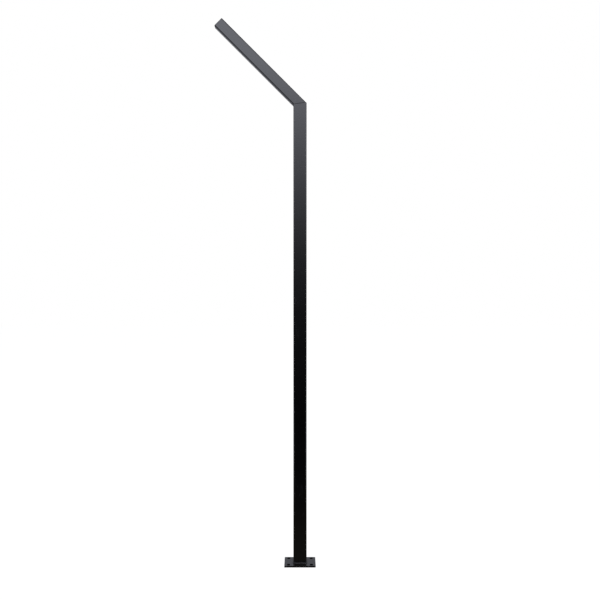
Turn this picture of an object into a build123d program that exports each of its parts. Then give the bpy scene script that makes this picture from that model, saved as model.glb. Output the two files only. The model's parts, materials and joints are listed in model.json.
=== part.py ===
from build123d import *
import os
from math import atan2, cos, degrees, radians, sin, tan

# Street lamp post: a square post on a base plate, with a mitred arm that leans over at 45 degrees.
# Frame: origin at the centre of the base plate's underside, +Z up. The arm leans towards -X,
# the plain front looks towards -Y and the service door is in the rear face, towards +Y.
# All sizes are in millimetres.

os.makedirs("parts", exist_ok=True)

# ---------------------------------------------------------------- driving sizes
# Base plate
plate_size = 235.0
plate_thick = 12.0
plate_corner = 6.0
plate_edge = 1.0
bolt_spacing = 172.0
bolt_slot_width = 22.0
bolt_slot_length = 45.0
cable_hole = 60.0

# Post
post_width = 100.0
post_wall = 4.0
post_corner = 10.0
post_top = 3490.0

# Arm, leaning from the vertical, its length taken along its upper side
arm_width = 80.0
arm_wall = 4.0
arm_corner = 8.0
arm_lean = 45.0
arm_length = 908.0

# Closing plate between post and arm
joint_thick = 5.0

# Welds
base_weld_leg = 8.0
base_weld_land = 0.6
post_weld_width = 3.0
post_weld_depth = 2.0
arm_weld_leg = 6.0

# Grommet in the closing plate
grommet_hole = 32.0
grommet_bore = 20.0
grommet_lip = 4.0
grommet_lip_thick = 2.5
grommet_round = 0.8

# Plug in the arm's end
plug_flange = 4.0
plug_edge = 1.0
plug_depth = 28.0
plug_wall = 2.5
plug_core_gap = 1.0
plug_rib_gap = 0.15
plug_rib_thick = 1.6
plug_rib_count = 4

# Service door
door_height = 600.0
door_width = 60.0
door_length = 248.0
door_thick = 3.0
door_corner = 11.0
door_edge = 0.6
door_gap = 1.0
door_screw_inset = 12.0
gasket_thick = 1.0
gasket_inset = 1.0
hatch_thick = 6.0
hatch_lap = 7.0
hatch_corner = 6.0
window_width = 46.0
window_length = 200.0
window_corner = 8.0

# Screws, nuts and washers: nominal diameters and the clearances round them
door_screw_d = 6.0
door_screw_length = 10.0
door_screw_head_d = 10.5
door_screw_head = 3.3
door_screw_round = 2.0
door_screw_key = 4.0
door_screw_key_depth = 2.0
door_screw_pin_d = 1.4
door_screw_clearance = 0.6
retainer_d = 12.0
retainer_thick = 0.8
retainer_gap = 0.3
thread_gap = 0.05

earth_d = 8.0
earth_length = 25.0
earth_height = 518.0
earth_nut_flats = 13.0
earth_nut_thick = 6.5
earth_washer_d = 17.0
earth_washer_thick = 1.6
earth_washer_clearance = 0.4

# Equipment board and its standoffs
board_centre = 618.0
board_width = 44.0
board_length = 150.0
board_thick = 6.0
board_corner = 3.0
standoff_d = 12.0
standoff_length = 20.0
standoff_blind = 14.0
standoff_x = 16.0
standoff_end = 10.0
board_screw_d = 5.0
board_screw_length = 18.0
board_screw_head_d = 9.5
board_screw_head = 3.4
board_screw_clearance = 0.3

# Fused cut-out
cutout_width = 42.0
cutout_length = 95.0
cutout_depth = 30.0
cutout_corner = 3.0
carrier_width = 25.4
carrier_length = 51.4
carrier_depth = 21.7
carrier_corner = 2.0
carrier_gap = 0.3
carrier_flange = 3.0
carrier_flange_lap = 2.3
grip_width = 12.0
grip_length = 36.0
grip_height = 6.0
grip_round = 1.5
fuse_d = 14.0
fuse_length = 40.0
fuse_gap = 0.3
fuse_inset = 3.0
terminal_x = 8.0
terminal_inset = 14.5
terminal_d = 5.0
terminal_length = 18.0
terminal_head_d = 8.0
terminal_head = 3.5
terminal_sunk = 1.5
terminal_gap = 0.5
slot_width = 1.2
slot_depth = 1.4
cutout_screw_x = 15.5
cutout_screw_inset = 6.0
cutout_screw_d = 4.0
cutout_screw_head_d = 7.0
cutout_screw_head = 2.6
cutout_screw_sunk = 10.0
cutout_screw_grip = 5.0
gland_d = 20.0
gland_spigot = 8.0
gland_flats = 22.0
gland_collar = 4.0
gland_nut = 16.0
gland_nose_d = 17.0
gland_bore = 12.0
gland_inset = 2.0

# ---------------------------------------------------------------- worked-out sizes
post_bore = post_width - 2 * post_wall
post_bore_corner = post_corner - post_wall
arm_bore = arm_width - 2 * arm_wall
arm_bore_corner = arm_corner - arm_wall

# The closing plate slopes so that the narrower arm still covers the post from side to side.
lean = radians(arm_lean)
slope = atan2(arm_width / post_width - cos(lean), sin(lean))
arm_along = Vector(-sin(lean), 0, cos(lean))
arm_upward = Vector(cos(lean), 0, sin(lean))
outer_corner = Vector(post_width / 2, 0, post_top)
arm_start = outer_corner - arm_upward * (arm_width / 2)
slope_along = Vector(cos(slope), 0, sin(slope))
slope_normal = Vector(-sin(slope), 0, cos(slope))
joint_centre = outer_corner - Vector(1, 0, tan(slope)) * (post_width / 2)
joint_top = Plane(origin=joint_centre, x_dir=slope_along, z_dir=slope_normal)
joint_under = joint_top.offset(-joint_thick)
groove_under = joint_under.offset(-post_weld_width)
neck_width = post_width - 2 * post_weld_depth

# Inner face of the post, and the layers of the door on the frame behind it
inner_face = post_bore / 2
door_back = inner_face + gasket_thick
door_face = door_back + door_thick
hatch_width = door_width + 2 * (door_gap + hatch_lap)
hatch_length = door_length + 2 * (door_gap + hatch_lap)
door_screw_z = door_length / 2 - door_screw_inset
board_back = -inner_face + standoff_length
board_front = board_back + board_thick
cutout_front = board_front + cutout_depth
board_screw_z = board_length / 2 - standoff_end
terminal_z = cutout_length / 2 - terminal_inset
cutout_screw_z = cutout_length / 2 - cutout_screw_inset
gland_y = (board_front + cutout_front) / 2 + gland_inset

board_screw_places = [(x, z) for x in (-standoff_x, standoff_x) for z in (-board_screw_z, board_screw_z)]
terminal_places = [(x, z) for x in (-terminal_x, terminal_x) for z in (-terminal_z, terminal_z)]
cutout_screw_places = [(-cutout_screw_x, cutout_screw_z), (cutout_screw_x, -cutout_screw_z)]
door_screw_places = [(0, -door_screw_z), (0, door_screw_z)]


def facing_rear(y, z):
    """Plane at depth y and height z that looks towards +Y, its own Y axis pointing up."""
    return Plane(origin=(0, y, z), x_dir=(-1, 0, 0), z_dir=(0, 1, 0))


def across_arm(distance):
    """Plane across the arm, so far along it from the outer corner of the joint."""
    return Plane(origin=arm_start + arm_along * distance, x_dir=(0, 1, 0), z_dir=arm_along)


def finish(piece, label):
    """Label a finished piece and write it out."""
    piece.part.label = label
    export_step(piece.part, f"parts/{label}.step")
    print(f"{label}: {len(piece.part.solids())} solid(s), {piece.part.volume / 1000:.1f} cm3")


# ---------------------------------------------------------------- base plate
with BuildPart() as base_plate:
    with BuildSketch():
        RectangleRounded(plate_size, plate_size, plate_corner)
        Circle(cable_hole / 2, mode=Mode.SUBTRACT)
        with GridLocations(bolt_spacing, bolt_spacing, 2, 2):
            SlotOverall(bolt_slot_length, bolt_slot_width, rotation=90, mode=Mode.SUBTRACT)
    extrude(amount=plate_thick)
    rim = base_plate.faces().sort_by(Axis.Z)[-1].outer_wire().edges()
    fillet(rim, radius=plate_edge)
finish(base_plate, "base_plate")

# Fillet weld round the foot of the post, lying on the plate.
with BuildPart() as base_weld:
    for rise, spread in ((0, base_weld_leg), (base_weld_leg, base_weld_land)):
        with BuildSketch(Plane.XY.offset(plate_thick + rise)):
            RectangleRounded(post_width + 2 * spread, post_width + 2 * spread, post_corner + spread)
    loft(ruled=True)
    with BuildSketch(Plane.XY.offset(plate_thick)):
        RectangleRounded(post_width, post_width, post_corner)
    extrude(amount=base_weld_leg, mode=Mode.SUBTRACT)
finish(base_weld, "base_weld")

# ---------------------------------------------------------------- post
# The post's outline as a solid bar, cut to the slope just below the groove for the butt weld.
with BuildPart() as post_bar:
    with BuildSketch(Plane.XY.offset(plate_thick)):
        RectangleRounded(post_width, post_width, post_corner)
    extrude(amount=post_top - plate_thick)
    split(bisect_by=groove_under, keep=Keep.BOTTOM)

with BuildPart() as post_tube:
    with BuildSketch(Plane.XY.offset(plate_thick)):
        RectangleRounded(neck_width, neck_width, post_corner - post_weld_depth)
    extrude(amount=post_top - plate_thick)
    split(bisect_by=joint_under, keep=Keep.BOTTOM)
    add(post_bar.part)
    with BuildSketch(Plane.XY.offset(plate_thick)):
        RectangleRounded(post_bore, post_bore, post_bore_corner)
    extrude(amount=post_top, mode=Mode.SUBTRACT)
    with BuildSketch(facing_rear(inner_face - post_wall, door_height)):
        RectangleRounded(door_width + 2 * door_gap, door_length + 2 * door_gap, door_corner + door_gap)
    extrude(amount=3 * post_wall, mode=Mode.SUBTRACT)
finish(post_tube, "post_tube")

# Butt weld that fills the groove, ground flush with the post.
with BuildPart() as post_weld:
    with BuildSketch(Plane.XY.offset(post_top - post_width)):
        RectangleRounded(post_width, post_width, post_corner)
        RectangleRounded(neck_width, neck_width, post_corner - post_weld_depth, mode=Mode.SUBTRACT)
    extrude(amount=post_width)
    split(bisect_by=joint_under, keep=Keep.BOTTOM)
    split(bisect_by=groove_under, keep=Keep.TOP)
finish(post_weld, "post_weld")

# ---------------------------------------------------------------- joint between post and arm
with BuildPart() as joint_plate:
    with BuildSketch(Plane.XY.offset(post_top - post_width)):
        RectangleRounded(post_width, post_width, post_corner)
    extrude(amount=2 * post_width)
    split(bisect_by=joint_top, keep=Keep.BOTTOM)
    split(bisect_by=joint_under, keep=Keep.TOP)
    with BuildSketch(joint_top):
        Circle(grommet_hole / 2)
    extrude(amount=-joint_thick, mode=Mode.SUBTRACT)
finish(joint_plate, "joint_plate")

with BuildPart() as joint_grommet:
    with BuildSketch(joint_under):
        Circle(grommet_hole / 2)
    extrude(amount=joint_thick)
    for lip_plane, lip_thick in ((joint_top, grommet_lip_thick), (joint_under, -grommet_lip_thick)):
        with BuildSketch(lip_plane):
            Circle(grommet_hole / 2 + grommet_lip)
        extrude(amount=lip_thick)
    lip_edges = joint_grommet.edges().filter_by(GeomType.CIRCLE).group_by(SortBy.RADIUS)[-1]
    outermost = lip_edges.sort_by(Axis((0, 0, 0), slope_normal))
    fillet([outermost[0], outermost[-1]], radius=grommet_round)
    with BuildSketch(joint_top.offset(grommet_lip_thick)):
        Circle(grommet_bore / 2)
    extrude(amount=-(joint_thick + 2 * grommet_lip_thick), mode=Mode.SUBTRACT)
finish(joint_grommet, "joint_grommet")

# ---------------------------------------------------------------- arm
with BuildPart() as arm_tube:
    with BuildSketch(across_arm(-arm_width)):
        RectangleRounded(arm_width, arm_width, arm_corner)
        RectangleRounded(arm_bore, arm_bore, arm_bore_corner, mode=Mode.SUBTRACT)
    extrude(amount=arm_width + arm_length - plug_flange)
    split(bisect_by=joint_top, keep=Keep.TOP)
finish(arm_tube, "arm_tube")

# Fillet welds on the ledges of the closing plate, front and rear, along the arm's flat sides.
arm_flat = arm_width / 2 - arm_corner
arm_ledge = (post_width - arm_width) / 2
arm_weld_size = min(arm_weld_leg, arm_ledge)
ledge_start = joint_centre - slope_along * post_width
with BuildPart() as arm_welds:
    with BuildSketch(Plane(origin=ledge_start, x_dir=(0, 1, 0), z_dir=slope_along)):
        with BuildLine():
            Polyline(
                (arm_width / 2, 0),
                (arm_width / 2 + arm_weld_size, 0),
                (arm_width / 2, arm_weld_size),
                close=True,
            )
        make_face()
    extrude(amount=2 * post_width)
    split(bisect_by=Plane(origin=arm_start + arm_upward * arm_flat, z_dir=arm_upward), keep=Keep.BOTTOM)
    split(bisect_by=Plane(origin=arm_start - arm_upward * arm_flat, z_dir=arm_upward), keep=Keep.TOP)
    mirror(about=Plane.XZ)
finish(arm_welds, "arm_welds")

# Push-in end plug: flange over the tube's end, hollow core, thin ribs that grip the bore.
plug_core = arm_bore - 2 * plug_core_gap
plug_rib = arm_bore - 2 * plug_rib_gap
plug_pitch = plug_depth / plug_rib_count
tube_end = arm_length - plug_flange
with BuildPart() as arm_end_plug:
    with BuildSketch(across_arm(tube_end)):
        RectangleRounded(arm_width, arm_width, arm_corner)
    extrude(amount=plug_flange)
    plug_face = arm_end_plug.faces().sort_by(Axis(arm_start, arm_along))[-1]
    fillet(plug_face.edges(), radius=plug_edge)
    with BuildSketch(across_arm(tube_end)):
        RectangleRounded(plug_core, plug_core, arm_bore_corner - plug_core_gap)
    extrude(amount=-plug_depth)
    for rib in range(plug_rib_count):
        with BuildSketch(across_arm(tube_end - (rib + 0.5) * plug_pitch)):
            RectangleRounded(plug_rib, plug_rib, arm_bore_corner - plug_rib_gap)
        extrude(amount=-plug_rib_thick)
    with BuildSketch(across_arm(tube_end - plug_depth)):
        RectangleRounded(plug_core - 2 * plug_wall, plug_core - 2 * plug_wall, plug_core_gap)
    extrude(amount=plug_depth, mode=Mode.SUBTRACT)
finish(arm_end_plug, "arm_end_plug")

# ---------------------------------------------------------------- service door
# Backing frame welded behind the opening, with a tapped hole above and below its window. Its sides follow
# the post's inside where they reach its corners.
with BuildPart() as hatch_frame:
    with BuildSketch(facing_rear(inner_face - hatch_thick, door_height)):
        RectangleRounded(hatch_width, hatch_length, hatch_corner)
        RectangleRounded(window_width, window_length, window_corner, mode=Mode.SUBTRACT)
        with Locations(*door_screw_places):
            Circle(door_screw_d / 2 + thread_gap, mode=Mode.SUBTRACT)
    extrude(amount=hatch_thick)
    with BuildSketch(Plane.XY.offset(door_height - hatch_length)):
        RectangleRounded(post_bore, post_bore, post_bore_corner)
    extrude(amount=2 * hatch_length, mode=Mode.INTERSECT)
finish(hatch_frame, "hatch_frame")

with BuildPart() as door_panel:
    with BuildSketch(facing_rear(door_back, door_height)):
        RectangleRounded(door_width, door_length, door_corner)
    extrude(amount=door_thick)
    fillet(door_panel.faces().sort_by(Axis.Y)[-1].edges(), radius=door_edge)
    with BuildSketch(facing_rear(door_back, door_height)):
        with Locations(*door_screw_places):
            Circle((door_screw_d + door_screw_clearance) / 2)
    extrude(amount=door_thick, mode=Mode.SUBTRACT)
finish(door_panel, "door_panel")

gasket_width = door_width - 2 * gasket_inset
gasket_length = door_length - 2 * gasket_inset
with BuildPart() as door_gasket:
    with BuildSketch(facing_rear(inner_face, door_height)):
        RectangleRounded(gasket_width, gasket_length, door_corner - gasket_inset)
        RectangleRounded(window_width, window_length, window_corner, mode=Mode.SUBTRACT)
        with Locations(*door_screw_places):
            Circle(retainer_d / 2 + retainer_gap, mode=Mode.SUBTRACT)
    extrude(amount=gasket_thick)
finish(door_gasket, "door_gasket")

with BuildPart() as door_screw_retainers:
    with BuildSketch(facing_rear(door_back - retainer_thick, door_height)):
        with Locations(*door_screw_places):
            Circle(retainer_d / 2)
            Circle(door_screw_d / 2 + thread_gap, mode=Mode.SUBTRACT)
    extrude(amount=retainer_thick)
finish(door_screw_retainers, "door_screw_retainers")

# Captive button-head screws with a pinned hexagon socket.
for side, name in ((1, "door_screw_upper"), (-1, "door_screw_lower")):
    with BuildPart() as door_screw:
        screw_seat = facing_rear(door_face, door_height + side * door_screw_z)
        with BuildSketch(screw_seat):
            Circle(door_screw_head_d / 2)
        extrude(amount=door_screw_head)
        fillet(door_screw.faces().sort_by(Axis.Y)[-1].edges(), radius=door_screw_round)
        with BuildSketch(screw_seat.offset(door_screw_head)):
            RegularPolygon(door_screw_key / 2, 6, major_radius=False)
            Circle(door_screw_pin_d / 2, mode=Mode.SUBTRACT)
        extrude(amount=-door_screw_key_depth, mode=Mode.SUBTRACT)
        with BuildSketch(screw_seat):
            Circle(door_screw_d / 2)
        extrude(amount=-door_screw_length)
        chamfer(door_screw.faces().sort_by(Axis.Y)[0].edges(), length=door_screw_d / 8)
    finish(door_screw, name)

# ---------------------------------------------------------------- earth terminal
with BuildPart() as earth_stud:
    with BuildSketch(facing_rear(-inner_face, earth_height)):
        Circle(earth_d / 2)
    extrude(amount=earth_length)
    chamfer(earth_stud.faces().sort_by(Axis.Y)[-1].edges(), length=earth_d / 8)
finish(earth_stud, "earth_stud")

# Clamping stack on the stud: nut, two washers for the cable lug, nut.
first_washer = -inner_face + earth_nut_thick
second_nut = first_washer + 2 * earth_washer_thick
with BuildPart() as earth_nuts:
    for start in (-inner_face, second_nut):
        with BuildSketch(facing_rear(start, earth_height)):
            RegularPolygon(earth_nut_flats / 2, 6, major_radius=False)
            Circle(earth_d / 2 + thread_gap, mode=Mode.SUBTRACT)
        extrude(amount=earth_nut_thick)
finish(earth_nuts, "earth_nuts")

for order, name in enumerate(("earth_washer_inner", "earth_washer_outer")):
    with BuildPart() as earth_washer:
        with BuildSketch(facing_rear(first_washer + order * earth_washer_thick, earth_height)):
            Circle(earth_washer_d / 2)
            Circle((earth_d + earth_washer_clearance) / 2, mode=Mode.SUBTRACT)
        extrude(amount=earth_washer_thick)
    finish(earth_washer, name)

# ---------------------------------------------------------------- equipment board
with BuildPart() as board_standoffs:
    with BuildSketch(facing_rear(-inner_face, board_centre)):
        with Locations(*board_screw_places):
            Circle(standoff_d / 2)
    extrude(amount=standoff_length)
    with BuildSketch(facing_rear(board_back, board_centre)):
        with Locations(*board_screw_places):
            Circle(board_screw_d / 2 + thread_gap)
    extrude(amount=-standoff_blind, mode=Mode.SUBTRACT)
finish(board_standoffs, "board_standoffs")

with BuildPart() as equipment_board:
    with BuildSketch(facing_rear(board_back, board_centre)):
        RectangleRounded(board_width, board_length, board_corner)
        with Locations(*board_screw_places):
            Circle((board_screw_d + board_screw_clearance) / 2, mode=Mode.SUBTRACT)
        with Locations(*cutout_screw_places):
            Circle(cutout_screw_d / 2 + thread_gap, mode=Mode.SUBTRACT)
    extrude(amount=board_thick)
finish(equipment_board, "equipment_board")

with BuildPart() as board_screws:
    with BuildSketch(facing_rear(board_front, board_centre)):
        with Locations(*board_screw_places):
            Circle(board_screw_head_d / 2)
    extrude(amount=board_screw_head)
    fillet(board_screws.faces().group_by(Axis.Y)[-1].edges(), radius=board_screw_head / 2)
    with BuildSketch(facing_rear(board_front + board_screw_head, board_centre)):
        with Locations(*board_screw_places):
            Rectangle(board_screw_head_d / 2, slot_width)
            Rectangle(slot_width, board_screw_head_d / 2)
    extrude(amount=-slot_depth, mode=Mode.SUBTRACT)
    with BuildSketch(facing_rear(board_front, board_centre)):
        with Locations(*board_screw_places):
            Circle(board_screw_d / 2)
    extrude(amount=-board_screw_length)
finish(board_screws, "board_screws")

# ---------------------------------------------------------------- fused cut-out
pocket_depth = carrier_depth + carrier_gap
with BuildPart() as cutout_base:
    with BuildSketch(facing_rear(board_front, board_centre)):
        RectangleRounded(cutout_width, cutout_length, cutout_corner)
    extrude(amount=cutout_depth)
    with BuildSketch(facing_rear(cutout_front, board_centre)):
        RectangleRounded(
            carrier_width + 2 * carrier_gap, carrier_length + 2 * carrier_gap, carrier_corner + carrier_gap
        )
    extrude(amount=-pocket_depth, mode=Mode.SUBTRACT)
    with BuildSketch(facing_rear(cutout_front, board_centre)):
        with Locations(*terminal_places):
            Circle(terminal_head_d / 2 + terminal_gap)
    extrude(amount=-(terminal_sunk + terminal_head), mode=Mode.SUBTRACT)
    with BuildSketch(facing_rear(cutout_front, board_centre)):
        with Locations(*terminal_places):
            Circle(terminal_d / 2 + thread_gap)
    extrude(amount=-(terminal_sunk + terminal_head + terminal_length), mode=Mode.SUBTRACT)
    with BuildSketch(facing_rear(cutout_front, board_centre)):
        with Locations(*cutout_screw_places):
            Circle(cutout_screw_head_d / 2 + terminal_gap)
    extrude(amount=-(cutout_screw_sunk + cutout_screw_head), mode=Mode.SUBTRACT)
    with BuildSketch(facing_rear(cutout_front, board_centre)):
        with Locations(*cutout_screw_places):
            Circle(cutout_screw_d / 2 + thread_gap)
    extrude(amount=-cutout_depth, mode=Mode.SUBTRACT)
    for end in (-1, 1):
        with BuildSketch(Plane.XY.offset(board_centre + end * cutout_length / 2)):
            with Locations((0, gland_y)):
                Circle(gland_d / 2 + thread_gap)
        extrude(amount=-end * gland_spigot, mode=Mode.SUBTRACT)
finish(cutout_base, "cutout_base")

# Slotted cheese-head screws: the terminals on the cut-out's front, and the two that hold it to the board.
terminal_seat = cutout_front - terminal_sunk - terminal_head
cutout_seat = cutout_front - cutout_screw_sunk - cutout_screw_head
cutout_screw_length = cutout_seat - board_front + cutout_screw_grip
terminal_sizes = (terminal_head_d, terminal_head, terminal_d, terminal_length)
cutout_screw_sizes = (cutout_screw_head_d, cutout_screw_head, cutout_screw_d, cutout_screw_length)
screw_groups = (
    ("terminal_screws", terminal_places, terminal_seat, terminal_sizes),
    ("cutout_screws", cutout_screw_places, cutout_seat, cutout_screw_sizes),
)
for name, places, seat, (head_d, head, shank_d, length) in screw_groups:
    with BuildPart() as slotted_screws:
        with BuildSketch(facing_rear(seat, board_centre)):
            with Locations(*places):
                Circle(head_d / 2)
        extrude(amount=head)
        with BuildSketch(facing_rear(seat + head, board_centre)):
            with Locations(*places):
                Rectangle(head_d, slot_width)
        extrude(amount=-slot_depth, mode=Mode.SUBTRACT)
        with BuildSketch(facing_rear(seat, board_centre)):
            with Locations(*places):
                Circle(shank_d / 2)
        extrude(amount=-length)
    finish(slotted_screws, name)

# Pull-out carrier: flange on the cut-out's front, grip bar, body with a trough for the fuse behind.
flange_width = carrier_width + 2 * (carrier_gap + carrier_flange_lap)
flange_length = carrier_length + 2 * (carrier_gap + carrier_flange_lap)
fuse_y = cutout_front - carrier_depth + fuse_inset + fuse_d / 2
with BuildPart() as fuse_carrier:
    with BuildSketch(facing_rear(cutout_front, board_centre)):
        RectangleRounded(carrier_width, carrier_length, carrier_corner)
    extrude(amount=-carrier_depth)
    with BuildSketch(facing_rear(cutout_front, board_centre)):
        RectangleRounded(flange_width, flange_length, carrier_corner)
    extrude(amount=carrier_flange)
    with BuildSketch(facing_rear(cutout_front + carrier_flange, board_centre)):
        RectangleRounded(grip_width, grip_length, grip_round)
    extrude(amount=grip_height)
    fillet(fuse_carrier.faces().sort_by(Axis.Y)[-1].edges(), radius=grip_round)
    with BuildSketch(Plane.XY.offset(board_centre - fuse_length / 2 - fuse_gap)):
        with Locations((0, fuse_y)):
            Circle(fuse_d / 2 + fuse_gap)
        with Locations((0, fuse_y - carrier_depth / 2)):
            Rectangle(fuse_d + 2 * fuse_gap, carrier_depth)
    extrude(amount=fuse_length + 2 * fuse_gap, mode=Mode.SUBTRACT)
finish(fuse_carrier, "fuse_carrier")

with BuildPart() as fuse_link:
    with BuildSketch(Plane.XY.offset(board_centre - fuse_length / 2)):
        with Locations((0, fuse_y)):
            Circle(fuse_d / 2)
    extrude(amount=fuse_length)
finish(fuse_link, "fuse_link")

# Cable glands: threaded spigot in the cut-out's end, hexagon collar, tapering nut.
for end, name in ((-1, "supply_gland"), (1, "lamp_gland")):
    with BuildPart() as gland:
        gland_face = Plane(
            origin=(0, gland_y, board_centre + end * cutout_length / 2), x_dir=(1, 0, 0), z_dir=(0, 0, end)
        )
        with BuildSketch(gland_face):
            Circle(gland_d / 2)
        extrude(amount=-gland_spigot)
        with BuildSketch(gland_face):
            RegularPolygon(gland_flats / 2, 6, major_radius=False)
        extrude(amount=gland_collar)
        with BuildSketch(gland_face.offset(gland_collar)):
            Circle(gland_flats / 2)
        with BuildSketch(gland_face.offset(gland_collar + gland_nut)):
            Circle(gland_nose_d / 2)
        loft(ruled=True)
        with BuildSketch(gland_face.offset(-gland_spigot)):
            Circle(gland_bore / 2)
        extrude(amount=gland_spigot + gland_collar + gland_nut, mode=Mode.SUBTRACT)
    finish(gland, name)

arm_tip = outer_corner + arm_along * arm_length
print(f"closing plate slope {degrees(slope):.3f} degrees, arm tip at x {arm_tip.X:.1f}, z {arm_tip.Z:.1f}")
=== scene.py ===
"""Looks of a square street lamp post with a leaning arm, built around its fixed frame.

Every length is in metres, in the frame's own axes: +Z is up, the arm leans towards -X, the plain front
looks towards -Y and the service door is in the rear, towards +Y.
"""

import json
import logging
import math
from collections.abc import Sequence
from dataclasses import dataclass, field
from enum import Enum

import bpy
import numpy as np
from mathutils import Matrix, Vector


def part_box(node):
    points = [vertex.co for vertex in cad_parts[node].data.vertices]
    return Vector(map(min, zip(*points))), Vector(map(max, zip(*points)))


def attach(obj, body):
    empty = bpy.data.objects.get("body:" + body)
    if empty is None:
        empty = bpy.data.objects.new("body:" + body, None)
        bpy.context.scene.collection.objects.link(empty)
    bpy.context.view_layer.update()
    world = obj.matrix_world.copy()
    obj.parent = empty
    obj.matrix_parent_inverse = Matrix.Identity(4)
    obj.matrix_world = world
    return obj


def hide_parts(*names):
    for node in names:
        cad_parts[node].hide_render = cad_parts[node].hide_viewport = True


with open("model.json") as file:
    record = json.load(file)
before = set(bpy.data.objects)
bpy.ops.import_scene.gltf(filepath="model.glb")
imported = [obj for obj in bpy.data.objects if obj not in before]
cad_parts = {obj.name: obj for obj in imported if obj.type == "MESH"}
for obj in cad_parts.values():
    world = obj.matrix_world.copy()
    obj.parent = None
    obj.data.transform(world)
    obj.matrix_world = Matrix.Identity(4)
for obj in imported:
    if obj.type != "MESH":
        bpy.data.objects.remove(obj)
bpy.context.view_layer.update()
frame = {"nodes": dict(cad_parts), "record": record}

log = logging.getLogger("lamp_post")

MM = 0.001
SMOOTH_BELOW = math.radians(32)
CORNER_STEPS = 12
ROUNDING_SEGMENTS = 3
Faces = list[tuple[int, ...]]
Colour = tuple[float, float, float]


# ---------------------------------------------------------------------------------------------------
# Surfaces worked out on a grid
# ---------------------------------------------------------------------------------------------------


@dataclass(frozen=True)
class Stand:
    """A place to build on: an origin and three axes, the third being the direction of travel."""

    origin: tuple[float, float, float]
    right: tuple[float, float, float]
    up: tuple[float, float, float]

    def travel(self) -> np.ndarray:
        """Direction across right and up, by the right-hand rule."""
        return np.cross(self.right, self.up)

    def place(self, local: np.ndarray) -> np.ndarray:
        """Carry local points to the frame: origin + x * right + y * up + z * travel.

        Args:
            local: Points with three numbers each, in any array shape.

        Returns:
            The same points in the frame's axes.
        """
        axes = np.array([self.right, self.up, self.travel()])
        return np.asarray(self.origin) + local @ axes


UPRIGHT = Stand((0, 0, 0), (1, 0, 0), (0, 1, 0))


def facing_rear(y: float, z: float) -> Stand:
    """Stand at depth y and height z whose travel is +Y and whose second axis is +Z."""
    return Stand((0, y, z), (-1, 0, 0), (0, 0, 1))


def rounded_outline(width: float, height: float, radius: float, steps: int = CORNER_STEPS) -> np.ndarray:
    """Outline of a rectangle with round corners, anticlockwise from its right side.

    Each corner is a quarter arc: corner centre + radius * (cos a, sin a).

    Args:
        width: Size along the first axis.
        height: Size along the second axis.
        radius: Corner radius.
        steps: Segments in each corner.

    Returns:
        Points in a plane, four corners of steps + 1 points each.
    """
    quarter = np.arange(4)[:, None] * (math.pi / 2)
    angle = quarter + np.linspace(0, math.pi / 2, steps + 1)[None, :]
    side = np.sign(np.stack([np.cos(quarter + math.pi / 4), np.sin(quarter + math.pi / 4)], axis=-1))
    centre = side * np.array([width / 2 - radius, height / 2 - radius])
    arc = radius * np.stack([np.cos(angle), np.sin(angle)], axis=-1)
    return (centre + arc).reshape(-1, 2)


def square_path(width: float, radius: float, count: int) -> tuple[np.ndarray, np.ndarray, np.ndarray]:
    """Even walk round a square with round corners.

    A walked distance falls on a straight side while it is under the side's length, and past that on the
    arc that follows it, whose angle is the rest of the distance over the radius.

    Args:
        width: The square's size.
        radius: Its corner radius.
        count: Points on the walk.

    Returns:
        Points, outward normals and walked distances.
    """
    straight = width - 2 * radius
    stretch = straight + radius * math.pi / 2
    walked = np.arange(count) * (4 * stretch / count)
    quarter, along = np.divmod(walked, stretch)
    turn = np.clip((along - straight) / radius, 0, None)
    angle = quarter * (math.pi / 2) + turn
    normal = np.stack([np.cos(angle), np.sin(angle)], axis=-1)
    corner = quarter * (math.pi / 2)
    side_normal = np.stack([np.cos(corner), np.sin(corner)], axis=-1)
    side_along = np.stack([-np.sin(corner), np.cos(corner)], axis=-1)
    advance = np.minimum(along, straight) - straight / 2
    core = side_normal * (width / 2 - radius) + side_along * advance[:, None]
    return core + normal * radius, normal, walked


def lattice(rows: np.ndarray, ring: bool = False, caps: bool = False) -> tuple[np.ndarray, Faces]:
    """Skin a grid of points with four-sided faces, each row being a closed outline.

    Args:
        rows: Points as (rows, columns, 3).
        ring: Whether the last row joins the first.
        caps: Whether the first and last rows are closed with a face each.

    Returns:
        Points as one list, and the faces.
    """
    count, columns = rows.shape[:2]
    row = np.arange(count if ring else count - 1)[:, None]
    column = np.arange(columns)[None, :]
    after_row, after_column = (row + 1) % count, (column + 1) % columns
    corners = (
        row * columns + column,
        row * columns + after_column,
        after_row * columns + after_column,
        after_row * columns + column,
    )
    quads = np.stack(np.broadcast_arrays(*corners), axis=-1).reshape(-1, 4)
    faces: Faces = [tuple(quad) for quad in quads.tolist()]
    if caps:
        first = np.arange(columns)
        faces.append(tuple((first[::-1]).tolist()))
        faces.append(tuple((first + (count - 1) * columns).tolist()))
    return rows.reshape(-1, 3), faces


def stacked(stand: Stand, outlines: Sequence[tuple[float, np.ndarray]]) -> np.ndarray:
    """Rows of outlines, each at its own distance along a stand's travel.

    Args:
        stand: Where the stack is built.
        outlines: Pairs of distance and plane outline, all with the same number of points.

    Returns:
        Points as (rows, columns, 3).
    """
    flat = np.stack([outline for _, outline in outlines])
    rise = np.array([distance for distance, _ in outlines])[:, None, None]
    return stand.place(np.concatenate([flat, np.broadcast_to(rise, (*flat.shape[:2], 1))], axis=-1))


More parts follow.
